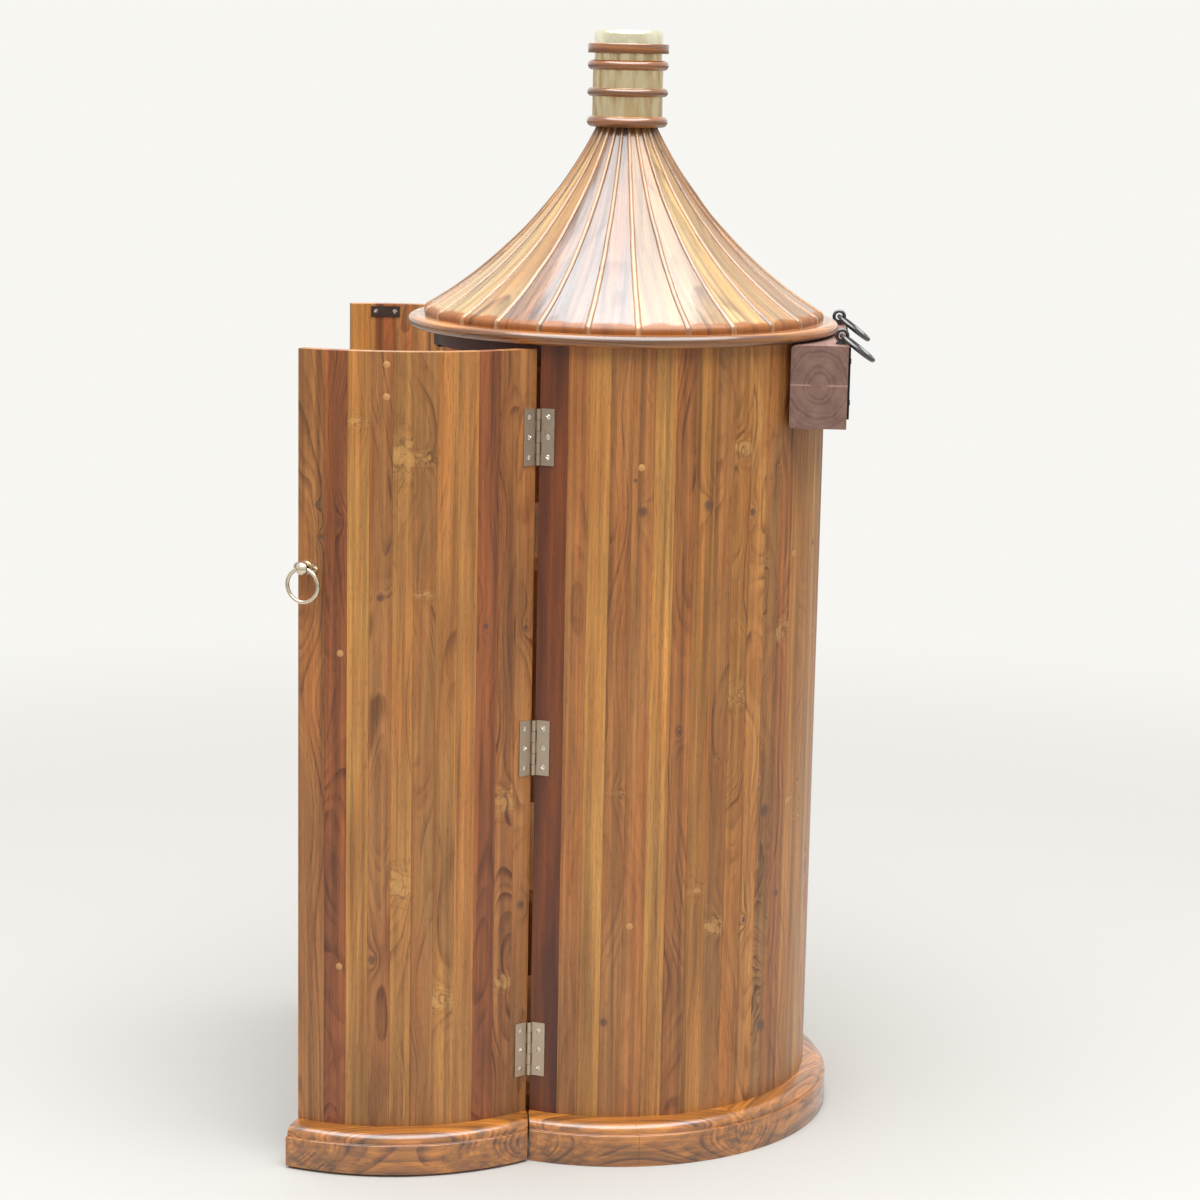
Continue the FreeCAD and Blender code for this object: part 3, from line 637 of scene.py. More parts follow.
        reach = add_node(tree, "ShaderNodeCombineXYZ", {0: across, 1: deep})
        reach = add_node(tree, VECTOR, {0: reach}, operation="LENGTH")
        uneven = add_node(tree, MATH, {0: reach, 1: 1 / (3 * self.ring)}, operation="MULTIPLY")
        uneven = add_node(tree, NOISE, {"W": uneven, "Scale": 1.0, "Detail": 1.0}, noise_dimensions="1D")
        rings = add_node(tree, MATH, {0: reach, 1: 1 / self.ring}, operation="MULTIPLY")
        rings = add_node(tree, MATH, {0: uneven, 1: 3.0, 2: rings}, operation="MULTIPLY_ADD")
        return add_node(tree, MATH, {0: pull, 1: 3.2, 2: rings}, operation="MULTIPLY_ADD")

    def coordinates(self, tree: NodeTree) -> tuple[Any, Any]:
        """Give the place in the board and the board's number.

        Args:
            tree: The material's tree.

        Returns:
            Sockets or nodes for the place in millimetres and for the number.
        """
        if self.turn is None:
            grain = add_node(tree, "ShaderNodeAttribute", attribute_name="grain").outputs["Vector"]
            return grain, add_node(tree, "ShaderNodeAttribute", attribute_name="seed").outputs["Fac"]
        split = add_node(tree, "ShaderNodeSeparateXYZ", {0: place_in_millimetres(tree, self.turn)})
        along, across, up = split.outputs
        plank = add_node(tree, MATH, {0: across, 1: 1 / self.board, 2: 0.5}, operation="MULTIPLY_ADD")
        number = add_node(tree, MATH, {0: plank}, operation="FLOOR")
        across = add_node(tree, MATH, {0: number, 1: -self.board, 2: across}, operation="MULTIPLY_ADD")
        return add_node(tree, "ShaderNodeCombineXYZ", {0: across, 1: up, 2: along}), number

    def base(self, tree: NodeTree) -> Any:
        """Give the timber's plain colour: its own, or the one stored on the piece."""
        if self.tone is None:
            return add_node(tree, "ShaderNodeAttribute", attribute_name="tone").outputs["Vector"]
        return linear(self.tone.value)

    def figures(self, tree: NodeTree) -> Sequence[Any]:
        """Give the board's ring contrast, waviness and streaks: its own, or those stored on the piece."""
        if self.tone is not None or self.tinted:
            return self.figure
        told = add_node(tree, "ShaderNodeAttribute", attribute_name="figure").outputs["Vector"]
        return list(add_node(tree, "ShaderNodeSeparateXYZ", {0: told}).outputs)

    def knots(self, tree: NodeTree, grain: Any, own: Any) -> list[Any]:
        """Give the pull on the rings, the dark hearts and the pale flares with their rims, of two knots.

        A knot is stored as its place across and along the board and its size. A negative size is a pale flare
        that runs across the board.

        Args:
            tree: The material's tree.
            grain: Place in the board.
            own: Place in the board, moved by the board's number.

        Returns:
            Nodes with the four strengths, or zeros on a timber without knots.
        """
        totals: list[Any] = [0.0, 0.0, 0.0, 0.0]
        if self.tone is not None or self.tinted:
            return totals
        rough = self.streaks(tree, own, Streak.RAGGED)
        for label in ("knot_a", "knot_b"):
            where = add_node(tree, "ShaderNodeAttribute", attribute_name=label).outputs["Vector"]
            across, along, sign = add_node(tree, "ShaderNodeSeparateXYZ", {0: where}).outputs
            spot = add_node(tree, "ShaderNodeSeparateXYZ", {0: grain})
            # Steps across and along, counted in the knot's own size.
            size = add_node(tree, MATH, {0: sign}, operation="ABSOLUTE")
            dark = add_node(tree, MATH, {0: sign}, operation="GREATER_THAN")
            dx = add_node(tree, MATH, {0: spot.outputs["X"], 1: across}, operation="SUBTRACT")
            dx = add_node(tree, MATH, {0: dx, 1: size}, operation="DIVIDE")
            dz = add_node(tree, MATH, {0: spot.outputs["Z"], 1: along}, operation="SUBTRACT")
            dz = add_node(tree, MATH, {0: dz, 1: size}, operation="DIVIDE")
            # The rings bend round the knot, less and less away from it.
            long = add_node(tree, MATH, {0: dz, 1: 0.55}, operation="MULTIPLY")
            away = add_node(tree, "ShaderNodeCombineXYZ", {0: dx, 1: long})
            away = add_node(tree, VECTOR, {0: away}, operation="LENGTH")
            fall = add_node(tree, MATH, {0: away, 1: -0.65}, operation="MULTIPLY")
            fall = add_node(tree, MATH, {0: fall}, operation="EXPONENT")
            # A dark heart with a ragged edge.
            ragged = add_node(tree, "ShaderNodeCombineXYZ", {0: dx, 1: dz})
            ragged = add_node(tree, VECTOR, {0: ragged}, operation="LENGTH")
            ragged = add_node(tree, MATH, {0: rough, 1: 1.2, 2: ragged}, operation="MULTIPLY_ADD")
            core = add_node(tree, RANGE, {"Value": ragged, "From Min": 1.1, "From Max": 1.9, "To Min": 0.78,
                                          "To Max": 0.0})
            core = add_node(tree, MATH, {0: core, 1: dark}, operation="MULTIPLY")
            # A pale flare, flat along the grain, inside brown rims.
            cross = add_node(tree, MATH, {0: away, 1: 0.5, 2: -0.4}, operation="MULTIPLY_ADD")
            cross = add_node(tree, MATH, {0: dz, 1: dz, 2: cross}, operation="MULTIPLY_ADD")
            cross = add_node(tree, MATH, {0: rough, 1: 8.0, 2: cross}, operation="MULTIPLY_ADD")
            pale = add_node(tree, MATH, {0: 1.0, 1: dark}, operation="SUBTRACT")
            patch = add_node(tree, RANGE, {"Value": cross, "From Min": 3.0, "From Max": 6.8, "To Min": 0.55,
                                           "To Max": 0.0})
            patch = add_node(tree, MATH, {0: patch, 1: pale}, operation="MULTIPLY")
            rim = add_node(tree, MATH, {0: cross, 1: 1.7}, operation="PINGPONG")
            rim = add_node(tree, RANGE, {"Value": rim, "From Min": 1.2, "From Max": 1.7, "To Max": 0.52})
            inside = add_node(tree, RANGE, {"Value": cross, "From Min": 6.5, "From Max": 11.0, "To Min": 1.0,
                                            "To Max": 0.0})
            for share in (inside, pale):
                rim = add_node(tree, MATH, {0: rim, 1: share}, operation="MULTIPLY")
            pairs = zip(totals, (fall, core, patch, rim))
            totals = [add_node(tree, MATH, {0: a, 1: b}, operation="ADD") for a, b in pairs]
        return totals

    def streaks(self, tree: NodeTree, own: Any, kind: Streak) -> Any:
        """Give noise drawn out along the grain.

        Args:
            tree: The material's tree.
            own: Place in the board, in millimetres.
            kind: Which noise.

        Returns:
            Node with the noise.
        """
        width, length, detail = kind.value
        scale = (1 / width, 1 / width, 1 / length)
        drawn = add_node(tree, VECTOR, {0: own, 1: scale}, operation="MULTIPLY")
        return add_node(tree, NOISE, {"Vector": drawn, "Scale": 1.0, "Detail": detail})


@dataclass(frozen=True)
class Metal:
    """A metal whose shine varies by "unevenness" over patches of a size in millimetres.

    The patches are "drawn" times as long upright, "dent" millimetres deep and pass to the colour "tarnish".
    """

    name: str
    colour: str
    roughness: float
    unevenness: float = 0.08
    patch: float = 14.0
    dent: float = 0.0
    tarnish: str | None = None
    drawn: float = 1.0

    def material(self) -> Material:
        """Build the material."""
        made, tree, shader = new_material(self.name)
        spot = add_node(tree, "ShaderNodeTexCoord").outputs["Object"]
        spot = add_node(tree, VECTOR, {0: spot, 1: (1.0, 1.0, 1 / self.drawn)}, operation="MULTIPLY")
        patch = add_node(tree, NOISE, {"Vector": spot, "Scale": 1 / (self.patch * MM), "Detail": 3.0})
        rough = add_node(tree, RANGE, {"Value": patch, "From Min": 0.3, "From Max": 0.7,
                                       "To Min": max(self.roughness - self.unevenness, 0.03),
                                       "To Max": self.roughness + self.unevenness})
        set_inputs(tree, shader, {"Metallic": 1.0, "Base Color": linear(self.colour), "Roughness": rough})
        if self.tarnish:
            dull = add_node(tree, RANGE, {"Value": patch, "From Min": 0.4, "From Max": 0.64})
            dull = add_node(tree, MIX, {"Factor": dull, "A": linear(self.colour), "B": linear(self.tarnish)},
                            data_type="RGBA")
            set_inputs(tree, shader, {"Base Color": dull})
        if self.dent:
            relief = add_node(tree, "ShaderNodeBump", {"Height": patch, "Distance": self.dent * MM})
            set_inputs(tree, shader, {"Normal": relief})
        return made


@dataclass(frozen=True)
class SeamShadedHingeMetal(Metal):
    """Metal of the hinges, with shade painted where the rounded ends of the knuckles meet."""

    pin: tuple[float, float] = (265.66, -112.77)
    levels: Triple = HINGE_LEVELS
    knuckle: float = 15.2
    reach: float = 4.0
    # Width in millimetres of the painted shade at each seam.
    seam_shade_width: float = 0.55

    def material(self) -> Material:
        """Build the metal, with shade painted in seams round the pins at the knuckles' ends."""
        made = super().material()
        tree = made.node_tree
        split = add_node(tree, "ShaderNodeSeparateXYZ", {0: place_in_millimetres(tree)})
        side = add_node(tree, MATH, {0: split.outputs["X"]}, operation="ABSOLUTE")
        flat = add_node(tree, "ShaderNodeCombineXYZ", {0: side, 1: split.outputs["Y"]})
        flat = add_node(tree, VECTOR, {0: flat, 1: (*self.pin, 0.0)}, operation="SUBTRACT")
        away = add_node(tree, VECTOR, {0: flat}, operation="LENGTH")
        near = add_node(tree, MATH, {0: away, 1: self.reach}, operation="LESS_THAN")
        height = split.outputs["Z"]
        for below, above in zip(self.levels, self.levels[1:]):
            past = add_node(tree, MATH, {0: split.outputs["Z"], 1: (below + above) / 2},
                            operation="GREATER_THAN")
            height = add_node(tree, MATH, {0: past, 1: below - above, 2: height}, operation="MULTIPLY_ADD")
        count = add_node(tree, MATH, {0: height, 1: self.levels[0]}, operation="SUBTRACT")
        count = add_node(tree, MATH, {0: count, 1: 1 / self.knuckle}, operation="MULTIPLY")
        count = add_node(tree, MATH, {0: count}, operation="FRACT")
        count = add_node(tree, MATH, {0: count, 1: 0.5}, operation="SUBTRACT")
        count = add_node(tree, MATH, {0: count}, operation="ABSOLUTE")
        # Painted shade: dark bands round the pin at each knuckle's end.
        dark = add_node(tree, RANGE,
                        {"Value": count, "From Max": self.seam_shade_width / self.knuckle, "To Min": 0.85, "To Max": 0.0})
        dark = add_node(tree, MATH, {0: dark, 1: near}, operation="MULTIPLY")
        plate = add_node(tree, MIX, {"Factor": dark, "A": linear(self.colour), "B": SHADE}, data_type="RGBA")
        set_inputs(tree, tree.nodes["Principled BSDF"], {"Base Color": plate})
        return made


class Finishes:
    """All finishes of the cabinet, each built once."""

    def __init__(self) -> None:
        """Build the materials."""
        # Oiled and lightly varnished teak: honey and brown streaks under a soft sheen.
        self.staves = Wood("oiled_teak_staves").material()
        # The same teak as bent mouldings: flame-shaped dark figure under glossy varnish.
        self.moulding = Wood("varnished_teak_moulding", ring=3.7, pith=20.0, behind=50.0, sway=0.04,
                             aside=(-40.0, -20.0), coat=1.0, coat_roughness=0.2, coat_ior=1.68, roughness=0.4,
                             tone=Tone.MOULDING, ripple=0.25, warm="#94551F",
                             figure=(1.7, 0.45, 1.5)).material()
        # The brim's round board: the same varnish over plainer, browner teak.
        self.brim = Wood("varnished_teak_brim", ring=5.0, pith=30.0, coat=1.0, coat_roughness=0.12,
                         coat_ior=1.52, roughness=0.4, tone=Tone.BRIM, ripple=0.3, warm="#6B3610",
                         figure=(1.6, 1.2, 2.4)).material()
        # Roof boards under several thick coats of varnish: they mirror the light from above in patches.
        # Shade is painted on each board's rounded foot.
        self.roof = Wood("varnished_teak_roof", ring=9.0, coat=1.0, coat_roughness=0.17, coat_ior=1.57,
                         ripple=0.4, roughness=0.5, tinted=True, foot=20.0, warm="#A5641C",
                         figure=(1.0, 1.4, 1.2)).material()
        # Rounded ribs under the same varnish.
        self.ribs = Wood("varnished_teak_ribs", ring=6.0, coat=1.0, coat_roughness=0.27, coat_ior=1.55,
                         roughness=0.35, tone=Tone.BEAD, warm="#83562F", figure=(1.0, 1.6, 1.4)).material()
        # Turned rings of the neck: redder, with dark mottles, glossy.
        self.rings = Wood("varnished_teak_rings", ring=4.0, pith=14.0, coat=1.0, coat_roughness=0.16,
                          coat_ior=1.7, roughness=0.35, tone=Tone.TURNED, warm="#54290E",
                          figure=(1.8, 1.8, 2.4)).material()
        # Planed teak boards inside, oiled only.
        self.boards = Wood("planed_teak_boards", ring=8.0, roughness=0.5, coat=0.1, tone=Tone.GOLDEN,
                           turn=0.0, board=88.0).material()
        # Dark hardwood board under the brim.
        self.dark_board = Wood("dark_hardwood_board", warm="#4A2413", roughness=0.5, coat=0.1,
                               tone=Tone.STILE, turn=0.0, board=120.0).material()
        # Round plugs of pale teak over the screws in the staves.
        self.plugs = Wood("pale_teak_plugs", ring=3.0, roughness=0.5, tone=Tone.STRAW, warm="#D8A878",
                          figure=(0.3, 1.0, 0.4)).material()
        # Sawn dark hardwood beam with its heart inside: rings show on its ends.
        self.beam = BeamWood().material()
        # Satin sheet brass, rubbed upright and slightly dulled.
        self.brass_sheet = Metal("satin_brass_sheet", "#F0DFB6", 0.34, 0.12, patch=11.0, dent=0.1,
                                 tarnish="#CBAF84", drawn=5.0).material()
        # Polished pale brass of the cap, pressed and faintly wavy.
        self.brass = Metal("polished_brass", "#FCF8E2", 0.22, 0.06, patch=24.0, dent=0.4,
                           tarnish="#F0E7C4").material()
        # Cast brass of the pulls, almost silvery from wear.
        self.pale_brass = Metal("worn_pale_brass", "#DCCFB8", 0.26, 0.05).material()
        # Nickel-plated steel hinges, brushed and a little dull, with shade painted in the seams between the
        # knuckles.
        self.nickel = SeamShadedHingeMetal("brushed_nickel_plate", "#BBAA96", 0.34, patch=3.0, dent=0.06).material()
        # Bright nickel of the screw heads.
        self.screws = Metal("bright_nickel_screws", "#D9D2C6", 0.2, 0.03, patch=2.0).material()
        # Dark polished steel of rings and eyes.
        self.steel = Metal("dark_polished_steel", "#605F5F", 0.3, 0.06).material()
        # Browned steel of the strike plates, dull.
        self.brown_steel = Metal("browned_steel_plate", "#5C4E49", 0.42, 0.06).material()
        # Blackened steel of the beam's plate and the magnets, dull.
        self.black_steel = Metal("blackened_steel_plate", "#2B2B2D", 0.45, 0.06).material()


@dataclass(frozen=True)
class BeamWood:
    """Dark sawn hardwood: rings round a heart along the beam, and a check through it."""

    name: str = "sawn_dark_hardwood"
    light: str = "#8D6C60"
    dark: str = "#5E4038"
    pale: str = "#B08C7C"
    ring: float = 6.0
    turn: float = math.radians(4.0)
    heart_out: float = 275.0
    heart_height: float = 1065.0
    check: float = 0.7
    roughness: float = 0.62
    relief: float = 0.3

    def material(self) -> Material:
        """Build the material on object coordinates turned to the beam's length."""
        made, tree, shader = new_material(self.name)
        heart = (0.0, -self.heart_out, -self.heart_height)
        spot = add_node(tree, VECTOR, {0: place_in_millimetres(tree, self.turn), 1: heart}, operation="ADD")
        drawn = add_node(tree, VECTOR, {0: spot, 1: (1 / 400, 1 / 26, 1 / 26)}, operation="MULTIPLY")
        wander = add_node(tree, NOISE, {"Vector": drawn, "Scale": 1.0, "Detail": 3.0}).outputs["Color"]
        wander = add_node(tree, VECTOR, {0: wander, 1: MIDDLE}, operation="SUBTRACT")
        wander = add_node(tree, VECTOR, {0: wander, 1: (0.0, 17.0, 17.0)}, operation="MULTIPLY")
        place = add_node(tree, VECTOR, {0: spot, 1: wander}, operation="ADD")
        place = add_node(tree, VECTOR, {0: place, 1: (0.0, 1.0, 0.85)}, operation="MULTIPLY")
        reach = add_node(tree, VECTOR, {0: place}, operation="LENGTH")
        rings = add_node(tree, MATH, {0: reach, 1: 1 / self.ring}, operation="MULTIPLY")
        year = add_node(tree, MATH, {0: rings}, operation="FLOOR")
        year = add_node(tree, "ShaderNodeTexWhiteNoise", {"W": year}, noise_dimensions="1D")
        year = add_node(tree, MATH, {0: year, 1: 1.6}, operation="POWER")
        phase = add_node(tree, MATH, {0: rings}, operation="FRACT")
        line = add_node(tree, MATH, {0: phase, 1: math.pi}, operation="MULTIPLY")
        line = add_node(tree, MATH, {0: line}, operation="SINE")
        line = add_node(tree, MATH, {0: line, 1: 3.0}, operation="POWER")
        line = add_node(tree, MATH, {0: line, 1: year}, operation="MULTIPLY")
        fine = add_node(tree, VECTOR, {0: spot, 1: (1 / 70, 1 / 1.8, 1 / 1.8)}, operation="MULTIPLY")
        fibre = add_node(tree, NOISE, {"Vector": fine, "Scale": 1.0, "Detail": 3.0})
        blot = add_node(tree, NOISE, {"Vector": drawn, "Scale": 1.3, "Detail": 2.0})
        mark = add_node(tree, MATH, {0: blot, 1: 1.2, 2: -0.5}, operation="MULTIPLY_ADD")
        mark = add_node(tree, MATH, {0: line, 1: 0.42, 2: mark}, operation="MULTIPLY_ADD")
        mark = add_node(tree, MATH, {0: fibre, 1: 0.5, 2: mark}, operation="MULTIPLY_ADD")
        wood = add_node(tree, MIX, {"Factor": mark, "A": linear(self.light), "B": linear(self.dark)},
                        data_type="RGBA")
        split = add_node(tree, "ShaderNodeSeparateXYZ", {0: spot})
        ragged = add_node(tree, MATH, {0: fibre, 1: 2.0, 2: split.outputs["Z"]}, operation="MULTIPLY_ADD")
        ragged = add_node(tree, MATH, {0: ragged}, operation="ABSOLUTE")
        crack = add_node(tree, RANGE, {"Value": ragged, "From Min": self.check, "From Max": self.check * 2.2,
                                       "To Min": 0.7, "To Max": 0.0})
        out = add_node(tree, MATH, {0: split.outputs["Y"]}, operation="ABSOLUTE")
        out = add_node(tree, RANGE, {"Value": out, "From Min": 9.0, "From Max": 14.0})
        crack = add_node(tree, MATH, {0: crack, 1: out}, operation="MULTIPLY")
        wood = add_node(tree, MIX, {"Factor": crack, "A": wood, "B": linear(self.pale)}, data_type="RGBA")
        relief = add_node(tree, "ShaderNodeBump", {"Height": fibre, "Distance": self.relief * MM})
        set_inputs(tree, shader, {"Base Color": wood, "Roughness": self.roughness, "Normal": relief})
        return made


@dataclass(frozen=True)
class Board:
    """One stave: its share of the row's width, its tone, number and figure, and its two knots."""

    share: float
    tone: Tone
    seed: float
    figure: Triple = (0.4, 1.0, 1.0)
    knot_a: Triple = AWAY
    knot_b: Triple = AWAY


@dataclass
class StaveRow:
    """A curved row of staves with finely broken outer edges."""

    name: str
    start: float
    sweep: float
    boards: list[Board]
    inner: float
    outer: float
    bottom: float
    top: float
    arris: float = 0.35
    across: int = 4

    def strip(self) -> Object:
        """Make one stave, unbent. Its corners are told by share, inset, depth, level and sink.

        Returns:
            The strip: share runs across the stave from 0 to 1, depth from the inner face to the outer, level
            from the foot to the top. Inset and sink, in millimetres, break the outer edges.
        """
        edge, last = self.arris, self.across
        section = [(i / last, 0.0, 0.0, 0.0) for i in range(last + 1)]
        section.append((1.0, 0.0, 1.0, edge))
        for i in reversed(range(last + 1)):
            inset = edge if i == 0 else -edge if i == last else 0.0
            section.append((i / last, inset, 1.0, 0.0))
        section.append((0.0, 0.0, 1.0, edge))
        corners = [(*corner[:3], level, corner[3]) for level in (0.0, 1.0) for corner in section]
        count = len(section)
        faces = [[i, (i + 1) % count, (i + 1) % count + count, i + count] for i in range(count)]
        faces += [list(reversed(range(count))), list(range(count, 2 * count))]
        labels = ("share", "inset", "depth", "level", "sink")
        values = {label: [c[k] for c in corners] for k, label in enumerate(labels)}
        return make_mesh(self.name + "_strip", [(c[0], c[2], c[3]) for c in corners], faces, values)

    def build(self, material: Material) -> Object:
        """Bend a strip into each board's place.

        Args:
            material: Finish of the staves.

        Returns:
            The row as one plain mesh.
        """
        total = sum(b.share for b in self.boards)
        starts, widths, at = [], [], self.start
        for board in self.boards:
            width = self.sweep * board.share / total
            starts.append(math.radians(at))
            widths.append(math.radians(width))
            at += width
        values = {"start": starts, "width": widths, "tone": [linear(b.tone.value)[:3] for b in self.boards]}
        for label in ("seed", "figure", "knot_a", "knot_b"):
            values[label] = [getattr(b, label) for b in self.boards]
        carrier = make_mesh(self.name, [(i, 0.0, 0.0) for i in range(len(self.boards))], [], values)
        strip = self.strip()
        made = run_tree(carrier, stave_tree(), {"Strip": strip, "Inner Radius": self.inner * MM,
                                                "Outer Radius": self.outer * MM, "Bottom": self.bottom * MM,
                                                "Top": self.top * MM, "Finish": material})
        bpy.data.objects.remove(strip)
        return made


def stave_tree() -> NodeTree:
    """Build the tree that bends a strip round the axis at each stave's bearing, or return it."""
    if "Bent staves" in bpy.data.node_groups:
        return bpy.data.node_groups["Bent staves"]
    tree, given = new_tree("Bent staves", {"Strip": "NodeSocketObject", "Inner Radius": "NodeSocketFloat",
                                           "Outer Radius": "NodeSocketFloat", "Bottom": "NodeSocketFloat",
                                           "Top": "NodeSocketFloat"})
    strip = add_node(tree, "GeometryNodeObjectInfo", {"Object": given["Strip"]})
    placed = add_node(tree, "GeometryNodeInstanceOnPoints",
                      {"Points": given["Geometry"], "Instance": strip.outputs["Geometry"]})
    real = add_node(tree, "GeometryNodeRealizeInstances", {0: placed})
    told = {label: add_node(tree, "GeometryNodeInputNamedAttribute", {"Name": label}, data_type="FLOAT")
            for label in ("share", "inset", "depth", "level", "sink", "start", "width")}
    inner, outer = given["Inner Radius"], given["Outer Radius"]
    inset = add_node(tree, MATH, {0: told["inset"], 1: MM}, operation="MULTIPLY")
    inset = add_node(tree, MATH, {0: inset, 1: outer}, operation="DIVIDE")
    bearing = add_node(tree, MATH, {0: told["share"], 1: told["width"], 2: told["start"]},
                       operation="MULTIPLY_ADD")
    bearing = add_node(tree, MATH, {0: bearing, 1: inset}, operation="ADD")
    radius = add_node(tree, RANGE, {"Value": told["depth"], "To Min": inner, "To Max": outer})
    radius = add_node(tree, MATH, {0: told["sink"], 1: -MM, 2: radius}, operation="MULTIPLY_ADD")
    height = add_node(tree, RANGE,
                      {"Value": told["level"], "To Min": given["Bottom"], "To Max": given["Top"]})
    sine = add_node(tree, MATH, {0: bearing}, operation="SINE")
    cosine = add_node(tree, MATH, {0: bearing}, operation="COSINE")
    x = add_node(tree, MATH, {0: radius, 1: sine}, operation="MULTIPLY")
    y = add_node(tree, MATH, {0: radius, 1: cosine}, operation="MULTIPLY")
    y = add_node(tree, MATH, {0: y, 1: -1.0}, operation="MULTIPLY")
    spot = add_node(tree, "ShaderNodeCombineXYZ", {0: x, 1: y, 2: height})
    bent = add_node(tree, "GeometryNodeSetPosition", {"Geometry": real, "Position": spot})
    across = add_node(tree, MATH, {0: told["share"], 1: -0.5}, operation="ADD")
    across = add_node(tree, MATH, {0: across, 1: told["width"]}, operation="MULTIPLY")
    across = add_node(tree, MATH, {0: across, 1: outer}, operation="MULTIPLY")
    deep = add_node(tree, MATH, {0: radius, 1: outer}, operation="SUBTRACT")
    grain = add_node(tree, "ShaderNodeCombineXYZ", {0: across, 1: deep, 2: height})
    grain = add_node(tree, VECTOR, {0: grain, "Scale": 1 / MM}, operation="SCALE")
    kept = add_node(tree, "GeometryNodeStoreNamedAttribute",
                    {"Geometry": bent, "Name": "grain", "Value": grain}, data_type="FLOAT_VECTOR",
                    domain="POINT")
    return dress_tree(tree, kept)


def round_tree() -> NodeTree:
    """Build the tree that repeats a piece round the axis, giving each copy its own number, or return it."""
    if "Round array" in bpy.data.node_groups:
        return bpy.data.node_groups["Round array"]
    tree, given = new_tree("Round array", {"Count": "NodeSocketInt", "First Bearing": "NodeSocketFloat",
                                           "Unevenness": "NodeSocketFloat"})
    count = given["Count"]
    spots = add_node(tree, "GeometryNodePoints", {"Count": count, "Position": (0.0, 0.0, 0.0)})
    number = add_node(tree, "GeometryNodeInputIndex")
    step = add_node(tree, MATH, {0: math.tau, 1: count}, operation="DIVIDE")
    turn = add_node(tree, MATH, {0: number, 1: step, 2: given["First Bearing"]}, operation="MULTIPLY_ADD")
    turn = add_node(tree, "ShaderNodeCombineXYZ", {2: turn})
    chance = add_node(tree, "FunctionNodeRandomValue", {"Min": 1.0, "Max": 40.0, "Seed": 7},
                      data_type="FLOAT")
    kept = add_node(tree, "GeometryNodeStoreNamedAttribute",
                    {"Geometry": spots, "Name": "seed", "Value": chance}, data_type="FLOAT", domain="POINT")
    placed = add_node(tree, "GeometryNodeInstanceOnPoints",
                      {"Points": kept, "Instance": given["Geometry"], "Rotation": turn})
    real = add_node(tree, "GeometryNodeRealizeInstances", {0: placed})
    spot = add_node(tree, "GeometryNodeInputPosition")
    noise = add_node(tree, NOISE, {"Vector": spot, "Scale": 1 / (60 * MM), "Detail": 1.0})
    shake = add_node(tree, VECTOR, {0: noise.outputs["Color"], 1: MIDDLE}, operation="SUBTRACT")
    shake = add_node(tree, VECTOR, {0: shake, "Scale": given["Unevenness"]}, operation="SCALE")
    shake = add_node(tree, VECTOR, {0: shake, 1: (1.0, 1.0, 0.0)}, operation="MULTIPLY")
    real = add_node(tree, "GeometryNodeSetPosition", {"Geometry": real, "Offset": shake})
    return dress_tree(tree, real)


def face_tree() -> NodeTree:
    """Build the tree that sets a small piece on each point, turned by the point's "facing", or return it."""
    if "Set on faces" in bpy.data.node_groups:
        return bpy.data.node_groups["Set on faces"]
    tree, given = new_tree("Set on faces", {"Piece": "NodeSocketObject"})
    piece = add_node(tree, "GeometryNodeObjectInfo", {"Object": given["Piece"]})
    facing = add_node(tree, "GeometryNodeInputNamedAttribute", {"Name": "facing"}, data_type="FLOAT_VECTOR")
    placed = add_node(tree, "GeometryNodeInstanceOnPoints", {"Points": given["Geometry"],
                                                             "Instance": piece.outputs["Geometry"],
                                                             "Rotation": facing})
    real = add_node(tree, "GeometryNodeRealizeInstances", {0: placed})
    return dress_tree(tree, real)


@dataclass
class Swing:
    """Where one door stands: its side, its pin and how far it is open at rest."""

    side: int
    opening: float
    pin_radius: float = PIN_RADIUS
    pin_bearing: float = PIN_BEARING

    def move(self, point: Vector) -> Vector:
        """Take a point of the right door, shut, to where this door's own stands.

        Args:
            point: Place in millimetres on the right door, shut.

        Returns:
            Place in millimetres on this door at rest.
        """
        pin = polar(self.pin_radius, self.pin_bearing, 0.0)
        turned = Matrix.Rotation(math.radians(self.opening), 3, "Z") @ (point - pin) + pin
        return Vector((turned.x * self.side, turned.y, turned.z))

    def place(self, radius: float, bearing: float, height: float) -> Vector:
        """Place a point of the right door, shut, given by radius, bearing and height."""
        return self.move(polar(radius, bearing, height))

    def apply(self, made: Object) -> Object:
        """Move a whole mesh from the right door, shut, to this door at rest, with its faces outward."""
        for vertex in made.data.vertices:
            vertex.co = self.move(vertex.co / MM) * MM
        if self.side < 0:
            made.data.flip_normals()
        return made

    def facing(self, bearing: float) -> float:
        """Turn about +Z, in radians, of something that faces out at a bearing of the right door, shut."""
        return math.radians((bearing + self.opening) * self.side)


@dataclass
class SmallPieces:
    """Equal small pieces set on faces."""

    name: str
    spots: list[tuple[Vector, Triple]] = field(default_factory=list)

    def one(self) -> Object:
        """Make one piece on the level plane, facing up."""
        raise NotImplementedError

    def add(self, point: Vector, turn: float, slant: float = 0.0) -> None:
        """Add a piece that faces out at a turn about +Z.

        Args:
            point: Place of the piece's foot, in millimetres.
            turn: Turn about +Z, in radians, of a piece that faces -Y.
            slant: Turn of the piece about the way that it faces, in radians.
        """
        whole = Matrix.Rotation(turn, 3, "Z") @ Matrix.Rotation(math.pi / 2, 3, "X")
        whole = whole @ Matrix.Rotation(slant, 3, "Z")
        self.spots.append((point, tuple(whole.to_euler("XYZ"))))

    def build(self, material: Material) -> Object:
        """Set a piece on every spot."""
        carrier = make_mesh(self.name, [s[0] for s in self.spots], [], {"facing": [s[1] for s in self.spots]})
        one = self.one()
        made = run_tree(carrier, face_tree(), {"Piece": one, "Finish": material})
        bpy.data.objects.remove(one)
        return made


